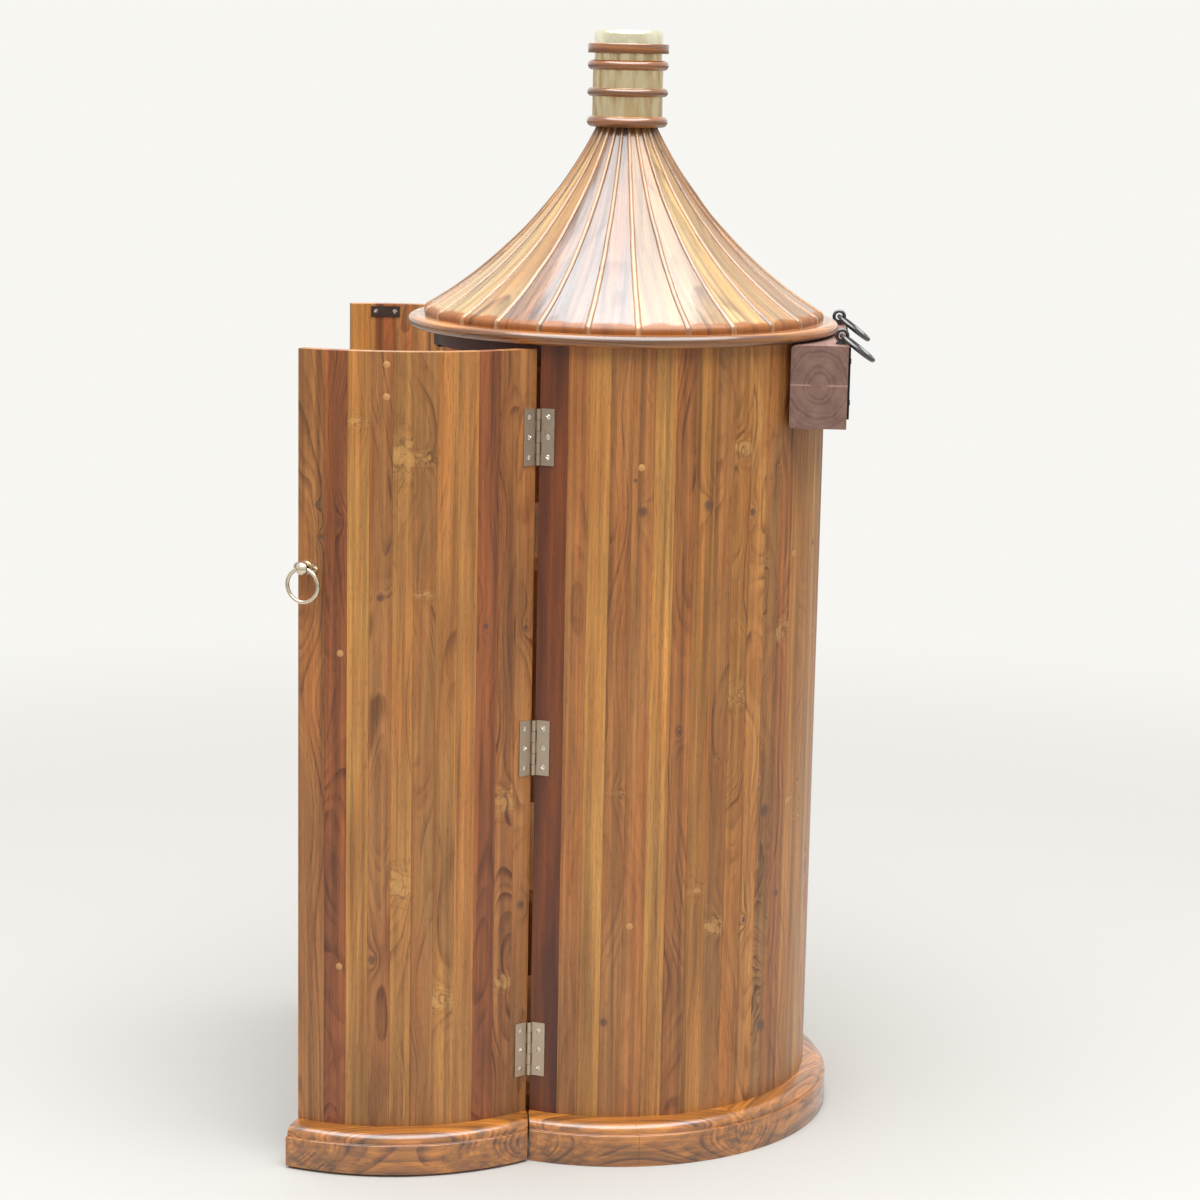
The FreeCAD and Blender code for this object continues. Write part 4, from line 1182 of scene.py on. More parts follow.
@dataclass
class Screws(SmallPieces):
    """Slotted screw heads."""

    radius: float = 3.4
    height: float = 1.1
    slot_width: float = 0.8
    slot_depth: float = 0.6
    sunk: float = 0.3
    dome: float = 0.98
    rings: int = 4
    sides: int = 20

    def one(self) -> Object:
        """Make one domed head, its slot along X."""
        rings, sides = self.rings, self.sides
        points: list[Triple] = [(0.0, 0.0, self.height - self.slot_depth)]
        faces: list[list[int]] = []
        for ring in range(1, rings + 1):
            radius = self.radius * ring / rings
            for side in range(sides):
                angle = math.tau * (side + 0.5) / sides
                x, y = radius * math.cos(angle), radius * math.sin(angle)
                level = self.height * math.sqrt(max(1 - (radius / self.radius) ** 2 * self.dome, 0.0))
                if abs(y) < self.slot_width / 2 and ring < rings:
                    level -= self.slot_depth
                points.append((x, y, max(level, 0.0)))
        for side in range(sides):
            on = (side + 1) % sides
            faces.append([0, 1 + side, 1 + on])
            for ring in range(rings - 1):
                a, b = 1 + ring * sides, 1 + (ring + 1) * sides
                faces.append([a + side, b + side, b + on, a + on])
        last = 1 + (rings - 1) * sides
        base = len(points)
        points.extend((p[0], p[1], -self.sunk) for p in points[last:last + sides])
        for side in range(sides):
            on = (side + 1) % sides
            faces.append([last + side, base + side, base + on, last + on])
        faces.append([base + side for side in reversed(range(sides))])
        return make_mesh(self.name + "_head", points, faces)


@dataclass
class Plugs(SmallPieces):
    """Round plugs of pale teak let into the staves, a hair proud of them."""

    radius: float = 4.6
    proud: float = 0.25
    depth: float = 1.5
    edge: float = 0.5
    sides: int = 24

    def one(self) -> Object:
        """Make one plug, its rim rounded over, its grain stored."""
        sides = self.sides
        outline = [(self.radius, -self.depth), (self.radius, self.proud * 0.4),
                   (self.radius - self.edge, self.proud)]
        ring = [(math.cos(math.tau * i / sides), math.sin(math.tau * i / sides)) for i in range(sides)]
        points = [(r * x, r * y, z) for r, z in outline for x, y in ring]
        faces = [[a + i, a + (i + 1) % sides, a + sides + (i + 1) % sides, a + sides + i]
                 for a in range(0, (len(outline) - 1) * sides, sides) for i in range(sides)]
        faces += [[2 * sides + i for i in range(sides)], list(reversed(range(sides)))]
        return make_mesh(self.name + "_one", points, faces, {"grain": points, "seed": [3.0] * len(points)})


@dataclass
class Moulding:
    """The plinth's section: a face, a step, an ovolo and a sloping ledge."""

    inner: float
    outer: float
    height: float = 60.0
    face: float = 44.0
    arris: float = 1.5
    lip: float = 4.5
    step: float = 2.0
    ovolo: tuple[float, float] = (14.5, 12.0)
    ledge: float = 3.0
    ledge_rise: float = 0.6
    heel: float = 1.0
    crease: float = 0.3

    def outline(self, bottom: float) -> list[Point]:
        """Points round the section, anticlockwise with the radius to the right."""
        foot = self.outer - self.lip
        base = self.face + self.step
        head = (foot - self.ovolo[0], base + self.ovolo[1])
        points = [(self.inner, bottom)]
        points += rounded((self.outer, bottom), (self.inner, bottom), (self.outer, self.face), self.heel, 2)
        points += rounded((self.outer, self.face), (self.outer, bottom), (foot, self.face), self.arris, 4)
        points += [(foot + self.crease, self.face), (foot, self.face + self.crease)]
        points += arc_points((head[0], base), self.ovolo, 0.0, 90.0, 12)
        points += [(head[0] - self.ledge, head[1] + self.ledge_rise), (self.inner, self.height)]
        return points


@dataclass
class Body:
    """The fixed round body: staves, stiles, plinth, brim and what is inside."""

    finishes: Finishes
    radius: float = RADIUS
    wall: float = WALL
    height: float = WALL_TOP
    staves: int = 36
    door_angle: float = PIN_BEARING
    stile_angle: float = 8.0
    door_gap: float = GAP
    plinth_radius: float = PLINTH_RADIUS
    wall_mitre: float = WALL_MITRE
    brim_radius: float = 301.0
    brim_top: float = 1135.0

    def boards(self) -> list[Board]:
        """Choose the wall's staves from the right-hand hinge on: those in view, then varied ones."""
        t = Tone
        boards = [
            Board(1.0, t.TAN, 1.3, (0.7, 0.7, 1.0)),
            Board(1.0, t.STRAW, 2.7, (0.35, 0.8, 0.8)),
            Board(1.0, t.TAN, 3.1, (0.7, 1.3, 1.0), (-9.0, 196.0, 5.0), (6.0, 518.0, -3.0)),
            Board(1.0, t.TAN, 14.6, (0.4, 0.8, 1.0), (-10.0, 944.0, 2.6), (0.0, 902.0, 6.0)),
            Board(1.0, t.STRAW, 5.4, (0.4, 0.6, 1.2)),
            Board(1.0, t.BROWN, 6.2, (1.1, 1.3, 1.2), (0.0, 601.0, 4.0)),
            Board(1.0, t.GOLDEN, 7.7, (0.45, 0.8, 1.1), (6.0, 909.0, 6.5), (3.0, 378.0, -5.0)),
            Board(1.0, t.OLIVE, 8.5, (0.6, 1.3, 0.8), (2.0, 322.0, -9.0), (2.0, 560.0, 2.0)),
            Board(1.0, t.GOLDEN, 9.1, (0.9, 2.4, 0.8), (-2.0, 979.0, -11.0), (2.0, 645.0, -11.0)),
            Board(1.0, t.HONEY, 10.3, (1.2, 1.5, 1.0), (-11.0, 895.0, 5.5), (-6.0, 325.0, 3.0)),
            Board(1.0, t.OLIVE, 11.9, (1.3, 3.3, 0.8), (0.0, 475.0, 9.0), (6.0, 165.0, 10.0)),
            Board(1.0, t.BROWN, 12.2, (1.0, 1.5, 1.1), (-8.0, 727.0, -10.0), (4.0, 350.0, 6.0)),
            Board(1.0, t.GOLDEN, 13.4, (0.5, 1.0, 0.9), (3.0, 480.0, -4.0)),
        ]
        rest = [t.TAN, t.GOLDEN, t.REDDISH, t.HONEY, t.BROWN, t.OLIVE, t.STRAW, t.TAN]
        for i in range(len(boards), self.staves):
            figure = (0.2 + 0.12 * ((i * 5) % 7), 0.6 + 0.3 * ((i * 3) % 5), 1.0)
            knot = ((i % 3 - 1) * 4.0, 200.0 + (i * 331) % 800, 2.0 + i % 4)
            flare = ((i % 5 - 2) * 3.0, 150.0 + (i * 577) % 900, -3.0 - i % 3)
            boards.append(Board(1.0, rest[(i * 5) % len(rest)], 20.0 + i * 1.37, figure, knot, flare))
        return boards

    def build(self) -> None:
        """Build and place every piece of the body."""
        inner = self.radius - self.wall
        start = self.door_angle + self.stile_angle
        row = StaveRow("teak_wall", start, 360.0 - 2 * start, self.boards(), inner, self.radius, 0.0,
                       self.height)
        settle(row.build(self.finishes.staves), "cabinet", stands_for=["wall_staves"], slot="stave_teak")
        gap = math.degrees(self.door_gap / self.radius)
        sweep = self.stile_angle - gap
        for name, at, seed, stands_for in (("right", self.door_angle + gap, 3.9, ["hinge_stiles"]),
                                           ("left", 360.0 - start, 4.4, [])):
            stile = [Board(1.0, Tone.STILE, seed, (0.15, 0.5, 0.6))]
            row = StaveRow(f"{name}_hinge_stile", at, sweep, stile, inner, self.radius, 0.0, self.height)
            settle(row.build(self.finishes.staves), "cabinet", stands_for=stands_for, slot="dark_teak")
        plugs = Plugs("wall_plugs")
        for bearing, height in ((95.0, 961.0), (94.4, 332.0), (146.7, 828.0), (262.0, 700.0)):
            plugs.add(polar(self.radius, bearing, height), math.radians(bearing))
        settle(plugs.build(self.finishes.plugs), "cabinet", slot="plain_teak")
        self.build_plinth()
        self.build_brim()
        self.dress_inside()

    def build_plinth(self) -> None:
        """Build the fixed plinth, its two front ends mitred about the hinge pins."""
        outline = Moulding(self.radius, self.plinth_radius).outline(0.0)
        lean = math.tan(math.radians(self.wall_mitre))

        def place(radius: float, bearing: float, height: float) -> Vector:
            """Slide the points near each end along the wall to its mitre."""
            reach = (self.door_gap + max(radius - PIN_RADIUS, 0.0) * lean) / radius
            share = (bearing - self.door_angle) / (360.0 - 2 * self.door_angle)
            start = self.door_angle + math.degrees(reach)
            return polar(radius, start + share * (360.0 - 2 * start), height)

        made = revolved("plinth_moulding", outline, self.door_angle, 360.0 - 2 * self.door_angle, steps=19,
                        seed=5.3, place=place, lengths=8, planks=4)
        settle(made, "cabinet", self.finishes.moulding, ["plinth_segments"], "plinth_teak")

    def build_brim(self) -> None:
        """Build the round board with its half-round edge."""
        half = (self.brim_top - self.height) / 2
        edge = arc_points((self.brim_radius - half, self.height + half), (half, half), -90.0, 90.0, 12)
        outline = [(0.0, self.height)] + edge + [(0.0, self.brim_top)]
        made = revolved("brim_board", outline, steps=160, seed=2.6)
        settle(made, "cabinet", self.finishes.brim, ["brim"], "brim_teak")

    def dress_inside(self) -> None:
        """Dress the boards, racks and metal parts that stay as they are."""
        looks = {
            self.finishes.boards: ["base_bearers", "bottom_board", "lower_shelf", "upper_shelf",
                                   "shelf_cleats", "bottle_rack_rails", "glass_rack_hangers",
                                   "glass_rack_runners"],
            self.finishes.dark_board: ["top_board", "neck_core"],
            self.finishes.black_steel: ["catch_magnets", "beam_plate"],
            self.finishes.brown_steel: [f"{side}_strike_plate" for side in ("right", "left")],
            self.finishes.nickel: ["wall_hinge_leaves", "hinge_pins", "right_door_hinge_leaves",
                                   "left_door_hinge_leaves"],
            self.finishes.pale_brass: [f"{side}_pull_{part}" for side in ("right", "left")
                                       for part in ("plate", "boss", "ring")],
            self.finishes.steel: ["eyebolts", "right_beam_ring", "left_beam_ring"],
            self.finishes.beam: ["rear_beam"],
        }
        for finish, names in looks.items():
            for name in names:
                materials = FRAME["nodes"][name].data.materials
                materials.clear()
                materials.append(finish)
                LOG.info("%s: dressed in %s", name, finish.name)


@dataclass
class Door:
    """One curved door: staves and plinth of its own. It opens as far as its stop, in degrees."""

    name: str
    swing: Swing
    finishes: Finishes
    stop: float
    boards: list[Board]
    radius: float = RADIUS
    wall: float = WALL
    span: float = PIN_BEARING
    gap: float = GAP
    bottom: float = 3.0
    top: float = 1113.3
    plinth_radius: float = PLINTH_RADIUS
    wall_mitre: float = WALL_MITRE

    def build(self) -> None:
        """Build and place the door's staves, plugs and plinth."""
        gap = math.degrees(self.gap / self.radius)
        door = f"{self.name}_door"
        row = StaveRow(f"{door}_teak", gap, self.span - 2 * gap, self.boards[::-1], self.radius - self.wall,
                       self.radius, self.bottom, self.top)
        made = self.swing.apply(row.build(self.finishes.staves))
        settle(made, door, stands_for=[f"{door}_staves"], slot="stave_teak")
        plugs = Plugs(f"{door}_plugs")
        for bearing, height in ((24.4, 1097.0), (24.4, 1055.0), (12.3, 713.0), (12.3, 283.0)):
            plugs.add(self.swing.place(self.radius, bearing, height), self.swing.facing(bearing))
        settle(plugs.build(self.finishes.plugs), door, slot="plain_teak")
        outline = Moulding(self.radius, self.plinth_radius).outline(self.bottom)
        lean = math.tan(math.radians(self.stop - self.wall_mitre))
        pin = self.swing.pin_radius

        def place(radius: float, bearing: float, height: float) -> Vector:
            """Slide the points near the hinge along the door to its mitre."""
            reach = math.degrees((self.gap + max(radius - pin, 0.0) * lean) / radius)
            share = (bearing - gap) / (self.span - gap)
            return polar(radius, gap + share * (self.span - gap - reach), height)

        seed = 11.0 if self.swing.side > 0 else 17.0
        made = revolved(f"{door}_moulding", outline, gap, self.span - gap, steps=50, seed=seed, place=place,
                        planks=1)
        settle(self.swing.apply(made), door, self.finishes.moulding, [f"{door}_plinth"], "plinth_teak")


@dataclass
class Hardware:
    """Screws of the hinges, strike plates and beam plate. Their slots slant by numbers in radians."""

    finishes: Finishes
    swings: dict[str, Swing]
    radius: float = RADIUS
    leaf: float = 1.8
    levels: Triple = HINGE_LEVELS
    offset: float = 13.0
    spacing: float = 27.0
    strike_radius: float = 265.5
    strike_bearing: float = 11.16
    strike_half: float = 3.1
    strike_height: float = 1102.0
    beam_turn: float = -4.0
    beam_back: float = 316.5
    beam_half: float = 153.0
    beam_heights: tuple[float, float] = (1039.3, 1095.3)
    slant: float = 0.9
    slant_step: float = 1.3
    strike_slant: float = 0.6
    beam_slant: float = 0.7

    def build(self) -> None:
        """Set all the screw heads."""
        turn = math.degrees(self.offset / self.radius)
        wall = Screws("wall_hinge_screws")
        for side in (1, -1):
            still = Swing(side, 0.0)
            self.leaf_screws(wall, still, still.pin_bearing + turn)
        settle(wall.build(self.finishes.screws), "cabinet", slot="hinge_nickel")
        for name, swing in self.swings.items():
            heads = Screws(f"{name}_door_screws")
            self.leaf_screws(heads, swing, swing.pin_bearing - turn)
            settle(heads.build(self.finishes.screws), f"{name}_door", slot="hinge_nickel")
            heads = Screws(f"{name}_strike_screws", height=0.35, slot_depth=0.25)
            for step in (-1, 1):
                bearing = self.strike_bearing + step * self.strike_half
                spot = swing.place(self.strike_radius, bearing, self.strike_height)
                heads.add(spot, swing.facing(bearing) + math.pi, self.strike_slant * step)
            settle(heads.build(self.finishes.screws), f"{name}_door", slot="steel")
        heads = Screws("beam_plate_screws", radius=5.0, height=1.6, slot_width=1.2, slot_depth=0.9)
        lean = math.radians(self.beam_turn)
        for side in (-1, 1):
            for height in self.beam_heights:
                spot = Matrix.Rotation(lean, 3, "Z") @ Vector((side * self.beam_half, self.beam_back, height))
                heads.add(spot, math.pi + lean, self.beam_slant * side + height)
        settle(heads.build(self.finishes.steel), "cabinet", slot="dark_steel")

    def leaf_screws(self, heads: Screws, swing: Swing, bearing: float) -> None:
        """Add the nine heads of one stile's leaves.

        Args:
            heads: Collection that gets them.
            swing: Where the stile stands.
            bearing: Bearing of the heads, on the right and shut.
        """
        for level in self.levels:
            for step in (-1, 0, 1):
                spot = swing.place(self.radius + self.leaf, bearing, level + step * self.spacing)
                heads.add(spot, swing.facing(bearing), self.slant + self.slant_step * step)


@dataclass
class Roof:
    """Crowned boards between beaded ribs, flared in one arc from a rounded shoulder to the neck."""

    finishes: Finishes
    foot_radius: float = 280.0
    foot: float = 1135.0
    rise: float = 10.5
    shoulder: float = 9.0
    top_radius: float = 42.2
    top: float = NECK_FOOT
    sag: float = 25.0
    count: int = 26
    first: float = -3.4
    rib_height: float = 3.4
    rib_foot: float = 9.6
    rib_top: float = 5.4
    tongue: float = 5.0
    crown: float = 0.9
    crowned_half: float = 28.0
    crown_limit: float = 0.8
    under_rib: float = 0.6
    least_half: float = 0.4
    thickness: float = 8.0
    board_unevenness: float = 1.3
    rib_unevenness: float = 2.6
    steps: int = 36
    shoulder_steps: int = 6
    crown_steps: int = 6
    crease: float = 50.0

    def curve(self, depth: float) -> list[tuple[Point, Point]]:
        """Points and outward normals up the roof at a depth below the ribs' crest.

        Args:
            depth: Distance under the crest.

        Returns:
            Pairs of (radius, height) and normal, from the brim up.
        """
        foot, top = Vector((self.foot_radius, self.foot + self.rise)), Vector((self.top_radius, self.top))
        chord = (top - foot).length
        inward = Vector((-(top - foot).y, (top - foot).x)) / chord
        radius = (chord ** 2 / 4 + self.sag ** 2) / (2 * self.sag)
        centre = (foot + top) / 2 + inward * (self.sag - radius)
        big = radius + depth
        foot_radius = self.foot_radius - depth
        reach = big + self.shoulder
        shoulder = Vector((foot_radius - self.shoulder, 0.0))
        shoulder.y = centre.y - math.sqrt(reach ** 2 - (shoulder.x - centre.x) ** 2)
        tangent = math.atan2(shoulder.y - centre.y, shoulder.x - centre.x)
        end = -math.pi - math.asin((self.top - centre.y) / big)
        found: list[tuple[Point, Point]] = [((foot_radius, self.foot), (1.0, 0.0))]
        for i in range(self.shoulder_steps + 1):
            angle = (tangent + math.pi) * i / self.shoulder_steps
            normal = Vector((math.cos(angle), math.sin(angle)))
            found.append((tuple(shoulder + normal * self.shoulder), tuple(normal)))
        for i in range(1, self.steps + 1):
            angle = tangent + (end - tangent) * i / self.steps
            normal = Vector((math.cos(angle), math.sin(angle)))
            found.append((tuple(centre + normal * big), tuple(-normal)))
        return found

    def rib_half(self, radius: float) -> float:
        """Half the rib's width at a radius."""
        share = (radius - self.top_radius) / (self.foot_radius - self.top_radius)
        return (self.rib_top + (self.rib_foot - self.rib_top) * share) / 2

    def shell(self, name: str, section: Callable[[float], list[Point]], depth: float) -> Object:
        """Draw a cross section up the roof's curve at bearing 0.

        Args:
            name: Name of the piece.
            section: Gives, for a radius, (sideways, outwards) points of the closed section, outer side first.
            depth: Distance of the section's zero below the ribs' crest.

        Returns:
            The closed piece with its grain stored.
        """
        points, grain, faces = [], [], []
        along = 0.0
        levels = self.curve(depth)
        before = Vector(levels[0][0])
        for spot, normal in levels:
            here = Vector(spot)
            along += (here - before).length
            before = here
            for side, out in section(spot[0]):
                radius = spot[0] + normal[0] * out
                height = max(spot[1] + normal[1] * out, self.foot)
                points.append((side, -radius, height))
                grain.append((side, out, along))
        count = len(points) // len(levels)
        for level in range(len(levels) - 1):
            for i in range(count):
                on = (i + 1) % count
                a, b = level * count, (level + 1) * count
                faces.append([a + i, a + on, b + on, b + i])
        faces.append(list(reversed(range(count))))
        faces.append(list(range(len(points) - count, len(points))))
        return make_mesh(name, points, faces, {"grain": grain})

    def board_section(self, radius: float) -> list[Point]:
        """Section of a crowned board: from under one rib to under the next, higher in the middle."""
        half = radius * math.sin(math.pi / self.count) - self.rib_half(radius) * self.under_rib
        half = max(half, self.least_half)
        crown = min(self.crown * half / self.crowned_half, self.rib_height * self.crown_limit)
        shares = [i / self.crown_steps - 1 for i in range(2 * self.crown_steps + 1)]
        outer = [(half * share, crown * (1 - share ** 2)) for share in shares]
        return outer + [(half, -self.thickness), (-half, -self.thickness)]

    def rib_section(self, radius: float) -> list[Point]:
        """Section of a rib: a round bead on a short tongue."""
        half = self.rib_half(radius)
        bead = arc_points((0.0, -self.rib_height), (half, self.rib_height), 180.0, 0.0, 8)
        root = -self.rib_height - self.tongue
        return bead + [(half, root), (-half, root)]

    def build(self) -> None:
        """Build the boards and ribs, and repeat them round the axis."""
        first = math.radians(self.first)
        boards = self.shell("roof_boards", self.board_section, self.rib_height)
        boards = run_tree(boards, round_tree(), {"Count": self.count,
                                                 "First Bearing": first + math.pi / self.count,
                                                 "Unevenness": self.board_unevenness * MM,
                                                 "Finish": self.finishes.roof})
        # Tones by bearing that carry painted light, with a painted reflection where the boards face the
        # camera.
        self.tint(boards)
        settle(boards, "cabinet", stands_for=["roof_panels"], slot="roof_teak", crease=self.crease)
        ribs = self.shell("roof_beads", self.rib_section, 0.0)
        ribs = run_tree(ribs, round_tree(), {"Count": self.count, "First Bearing": first,
                                             "Unevenness": self.rib_unevenness * MM,
                                             "Finish": self.finishes.ribs})
        settle(ribs, "cabinet", stands_for=["roof_ribs"], slot="rib_teak", crease=self.crease)

    def tint(self, boards: Object) -> None:
        """Store a tone on each board by its bearing, from the front round by the right: partly painted light.
        """
        # Grey boards facing the camera are a painted reflection of the sky; golden and brown ones are partly
        # own tone, partly painted light.
        t = Tone
        tones = [t.CHESTNUT, t.SHEAF, t.SHEAF, t.AMBER, t.DUSK, t.DUSK, t.DUSK, t.CHESTNUT, t.AMBER, t.SHEAF,
                 t.AMBER, t.CHESTNUT, t.CHESTNUT]
        mesh = boards.data
        layer = mesh.attributes.new("tone", "FLOAT_VECTOR", "POINT")
        for i, vertex in enumerate(mesh.vertices):
            bearing = math.degrees(math.atan2(vertex.co.x, -vertex.co.y))
            board = int((bearing - self.first) % 360.0 * self.count / 360.0)
            layer.data[i].vector = linear(tones[board % len(tones)].value)[:3]


@dataclass
class Neck:
    """Wooden rings, brass sleeves and the brass cap above the roof."""

    finishes: Finishes
    foot: float = NECK_FOOT
    core: float = 44.0
    ring: float = 56.0
    ring_round: float = 1.6
    sleeve: float = 48.6
    small_sleeve: float = 46.5
    heights: tuple[float, ...] = (15.1, 26.5, 12.0, 23.9, 13.7, 9.1, 13.4)
    cap_radius: float = 47.6
    cap_height: float = 18.5
    cap_round: float = 6.5
    cap_sheet: float = 2.5

    def build(self) -> None:
        """Build the rings, sleeves and cap from the roof up."""
        names = ("neck_ring_lowest", "neck_band_lower", "neck_ring_lower", "neck_band_middle",
                 "neck_ring_upper", "neck_band_upper", "neck_ring_top")
        at = self.foot
        for place, (name, height) in enumerate(zip(names, self.heights)):
            finish, slot = self.finishes.rings, "rib_teak"
            if "band" in name:
                radius = self.small_sleeve if name.endswith("upper") else self.sleeve
                edge = [(radius, at), (radius, at + height)]
                finish, slot = self.finishes.brass_sheet, "brass"
            elif name.endswith("top"):
                low, high = (self.ring, at), (self.ring, at + height)
                edge = rounded(low, (self.core, at), high, self.ring_round, 4)
                edge += rounded(high, low, (self.core, at + height), self.ring_round, 4)
            else:
                half = height / 2
                edge = arc_points((self.ring - half, at + half), (half, half), -90.0, 90.0, 14)
            outline = [(self.core, at)] + edge + [(self.core, at + height)]
            made = revolved(name + "_turned", outline, steps=72, seed=2.0 + place)
            settle(made, "cabinet", finish, [name], slot)
            at += height
        top = at + self.cap_height
        under = top - self.cap_sheet
        outline = [(self.core, at), (self.cap_radius, at)]
        outline += rounded((self.cap_radius, top), (self.cap_radius, at), (0.0, top), self.cap_round, 10)
        outline += [(0.0, top), (0.0, under), (self.core, under)]
        made = revolved("neck_cap_pressed", outline, steps=72)
        settle(made, "cabinet", self.finishes.brass, ["neck_cap"], "brass")


@dataclass
class Studio:
    """Pale floor, soft light and the camera at the photographed angle.

    The bearing is in degrees, the camera's other angles are in radians. Dim and bright are the strengths of
    the light from two sides, behind is the strength that mirrors show behind the camera. The floor fades
    between two distances, and things show as far as a third, all in metres.
    """

    distance: float = 4176.4
    height: float = 1517.7
    bearing: float = 89.2
    yaw: float = -0.0059
    pitch: float = 0.1867
    roll: float = 0.0195
    focal_pixels: float = 2978.0
    frame_pixels: float = 1200.0
    sensor: float = 36.0
    dim: float = 0.35
    bright: float = 0.59
    behind: float = 0.9
    lamp_spot: Triple = (600.0, 0.0, 4100.0)
    lamp_size: float = 4800.0
    lamp_power: float = 344.0
    lamp_aim: float = 1200.0
    lamp_colour: Triple = (0.94, 0.97, 1.0)
    bright_side: Triple = (0.35, 0.94, 0.0)
    backdrop: str = "#F7F6F2"
    floor: str = "#C4C1BC"
    floor_half: float = 60000.0
    fade: tuple[float, float] = (0.6, 3.6)
    farthest: float = 200.0

    def build(self) -> None:
        """Build the floor, lights and camera."""
        self.build_floor()
        self.build_world()
        self.build_lamp()
        self.build_camera()

    def build_floor(self) -> None:
        """Lay a plain pale floor that fades to the white background away from the cabinet."""
        half = self.floor_half
        corners = [(-half, -half, 0), (half, -half, 0), (half, half, 0), (-half, half, 0)]
        floor = make_mesh("floor", corners, [(0, 1, 2, 3)])
        material, tree, shader = new_material("pale_floor")
        set_inputs(tree, shader,
                   {"Base Color": linear(self.floor), "Roughness": 0.9, "Specular IOR Level": 0.1})
        spot = add_node(tree, "ShaderNodeTexCoord").outputs["Object"]
        away = add_node(tree, VECTOR, {0: spot}, operation="LENGTH")
        far = add_node(tree, RANGE, {"Value": away, "From Min": self.fade[0], "From Max": self.fade[1]},
                       interpolation_type="SMOOTHSTEP")
        sight = add_node(tree, "ShaderNodeLightPath").outputs["Is Camera Ray"]
        far = add_node(tree, MATH, {0: far, 1: sight}, operation="MULTIPLY")
        white = add_node(tree, "ShaderNodeEmission", {"Color": linear(self.backdrop), "Strength": 1.0})
        both = add_node(tree, "ShaderNodeMixShader", {0: far, 1: shader, 2: white})
        set_inputs(tree, tree.nodes["Material Output"], {"Surface": both})
        floor.data.materials.append(material)

    def build_world(self) -> None:
        """Light from pale surroundings, a little brighter on one side. Seen directly they are white."""
        world = bpy.data.worlds.new("pale_surroundings")
        bpy.context.scene.world = world
        world.use_nodes = True
        tree = world.node_tree
        way = add_node(tree, "ShaderNodeTexCoord").outputs["Generated"]
        side = add_node(tree, VECTOR, {0: way, 1: self.bright_side}, operation="DOT_PRODUCT")
        level = add_node(tree, RANGE,
                         {"Value": side, "From Min": -1.0, "To Min": self.dim, "To Max": self.bright})
        viewer = add_node(tree, VECTOR, {0: way, 1: (1.0, 0.0, 0.0)}, operation="DOT_PRODUCT")
        mirrored = add_node(tree, RANGE, {"Value": viewer, "From Min": -0.1, "From Max": 0.75, "To Min": 1.0,
                                          "To Max": self.behind})
        path = add_node(tree, "ShaderNodeLightPath")
        for ray, seen in (("Is Glossy Ray", mirrored), ("Is Camera Ray", 1.0)):
            level = add_node(tree, MIX, {"Factor": path.outputs[ray], "A": level, "B": seen})
        set_inputs(tree, tree.nodes["Background"], {"Color": linear(self.backdrop), "Strength": level})

    def build_lamp(self) -> None:
        """Hang a wide soft lamp overhead: it mirrors in the roof, the brim, the rings and the mouldings."""
        lamp = bpy.data.lights.new("overhead", "AREA")
        lamp.shape = "DISK"
        lamp.size = self.lamp_size * MM
        lamp.energy = self.lamp_power
        lamp.color = self.lamp_colour
        made = bpy.data.objects.new("overhead", lamp)
        made.location = Vector(self.lamp_spot) * MM
        aim = Vector((0.0, 0.0, self.lamp_aim)) * MM - made.location
        made.rotation_euler = aim.to_track_quat("-Z", "Y").to_euler()
        made.visible_camera = False
        bpy.context.scene.collection.objects.link(made)

    def build_camera(self) -> None:
        """Set the camera from the solved view."""
        turn = Matrix.Rotation(math.radians(self.bearing), 3, "Z")
        level = math.cos(self.pitch)
        ahead = Vector((math.sin(self.yaw) * level, math.cos(self.yaw) * level, -math.sin(self.pitch)))
        right = Vector((math.cos(self.yaw), -math.sin(self.yaw), 0.0))
        up = right.cross(ahead)
        cos, sin = math.cos(self.roll), math.sin(self.roll)
        axes = [turn @ v for v in (right * cos + up * sin, up * cos - right * sin, -ahead)]
        camera = bpy.data.cameras.new("photo_camera")
        camera.sensor_width = self.sensor
        camera.lens = self.focal_pixels / self.frame_pixels * self.sensor
        camera.clip_end = self.farthest
        made = bpy.data.objects.new("photo_camera", camera)
        spot = turn @ Vector((0.0, -self.distance, self.height)) * MM
        made.matrix_world = Matrix.Translation(spot) @ Matrix(axes).transposed().to_4x4()
        bpy.context.scene.collection.objects.link(made)
        bpy.context.scene.camera = made


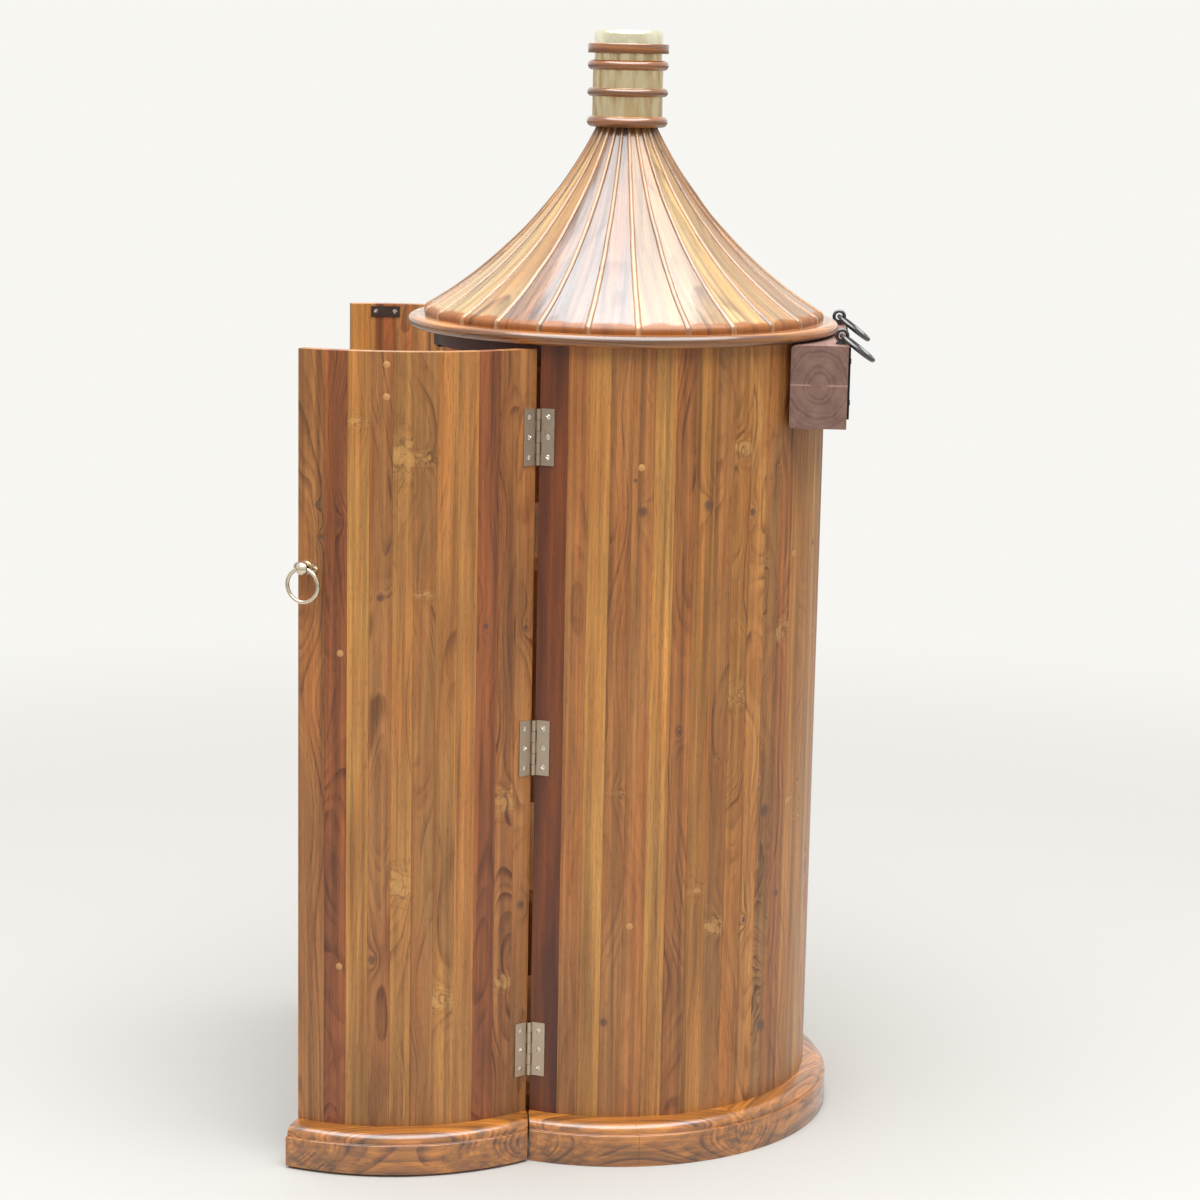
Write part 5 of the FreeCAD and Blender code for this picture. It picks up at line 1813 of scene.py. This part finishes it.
def door_boards(side: int) -> list[Board]:
    """Choose the staves of a door, from its hinge to its free edge.

    Args:
        side: 1 for the right door, -1 for the left.

    Returns:
        The eleven boards.
    """
    t = Tone
    shares = (5.9, 5.8, 6.1, 5.7, 5.8, 6.0, 5.6, 6.1, 6.0, 6.2, 7.8)
    rows = [
        (t.TAN, (1.0, 1.4, 1.0), (2.0, 741.0, 5.0), (0.0, 357.0, 6.0)),
        (t.BROWN, (1.3, 1.8, 1.0), (0.0, 505.0, -13.0), (4.0, 252.0, -9.0)),
        (t.UMBER, (1.1, 1.3, 1.2), (-2.0, 748.0, 4.0), AWAY),
        (t.HONEY, (0.3, 0.8, 0.9), AWAY, AWAY),
        (t.HONEY, (0.7, 1.2, 1.0), (0.0, 238.0, -10.0), AWAY),
        (t.OLIVE, (0.8, 1.8, 0.7), (4.0, 976.0, -7.0), (0.0, 794.0, -4.5)),
        (t.HONEY, (0.6, 1.4, 0.8), (-3.0, 978.0, -19.0), (0.0, 400.0, -16.0)),
        (t.TAN, (1.0, 1.5, 0.9), (0.0, 790.0, 5.5), (-8.0, 294.0, 5.0)),
        (t.STRAW, (0.4, 0.7, 1.1), (0.0, 1021.0, -5.0), AWAY),
        (t.UMBER, (1.1, 1.7, 1.1), (7.0, 888.0, 4.0), (0.0, 690.0, 3.0)),
        (t.TAN, (0.9, 1.5, 1.0), (10.0, 909.0, 6.0), (13.0, 868.0, 4.5)),
    ]
    if side < 0:
        rows = rows[4:] + rows[:4]
    first = 31.0 if side > 0 else 57.0
    found = []
    for i, (share, (tone, figure, knot_a, knot_b)) in enumerate(zip(shares, rows)):
        found.append(Board(share, tone, first + i * 1.9, figure, knot_a, knot_b))
    return found


def main() -> None:
    """Build the whole cabinet around its frame, then the studio."""
    logging.basicConfig(level=logging.INFO, format="%(name)s %(message)s")
    bpy.context.scene.view_settings.view_transform = "Standard"
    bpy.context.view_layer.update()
    finishes = Finishes()
    Body(finishes).build()
    swings = {"right": Swing(1, 65.0), "left": Swing(-1, 76.0)}
    Door("right", swings["right"], finishes, 67.0, door_boards(1)).build()
    Door("left", swings["left"], finishes, 78.0, door_boards(-1)).build()
    Hardware(finishes, swings).build()
    Roof(finishes).build()
    Neck(finishes).build()
    Studio().build()


if __name__ == "__main__":
    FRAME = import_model()
    main()
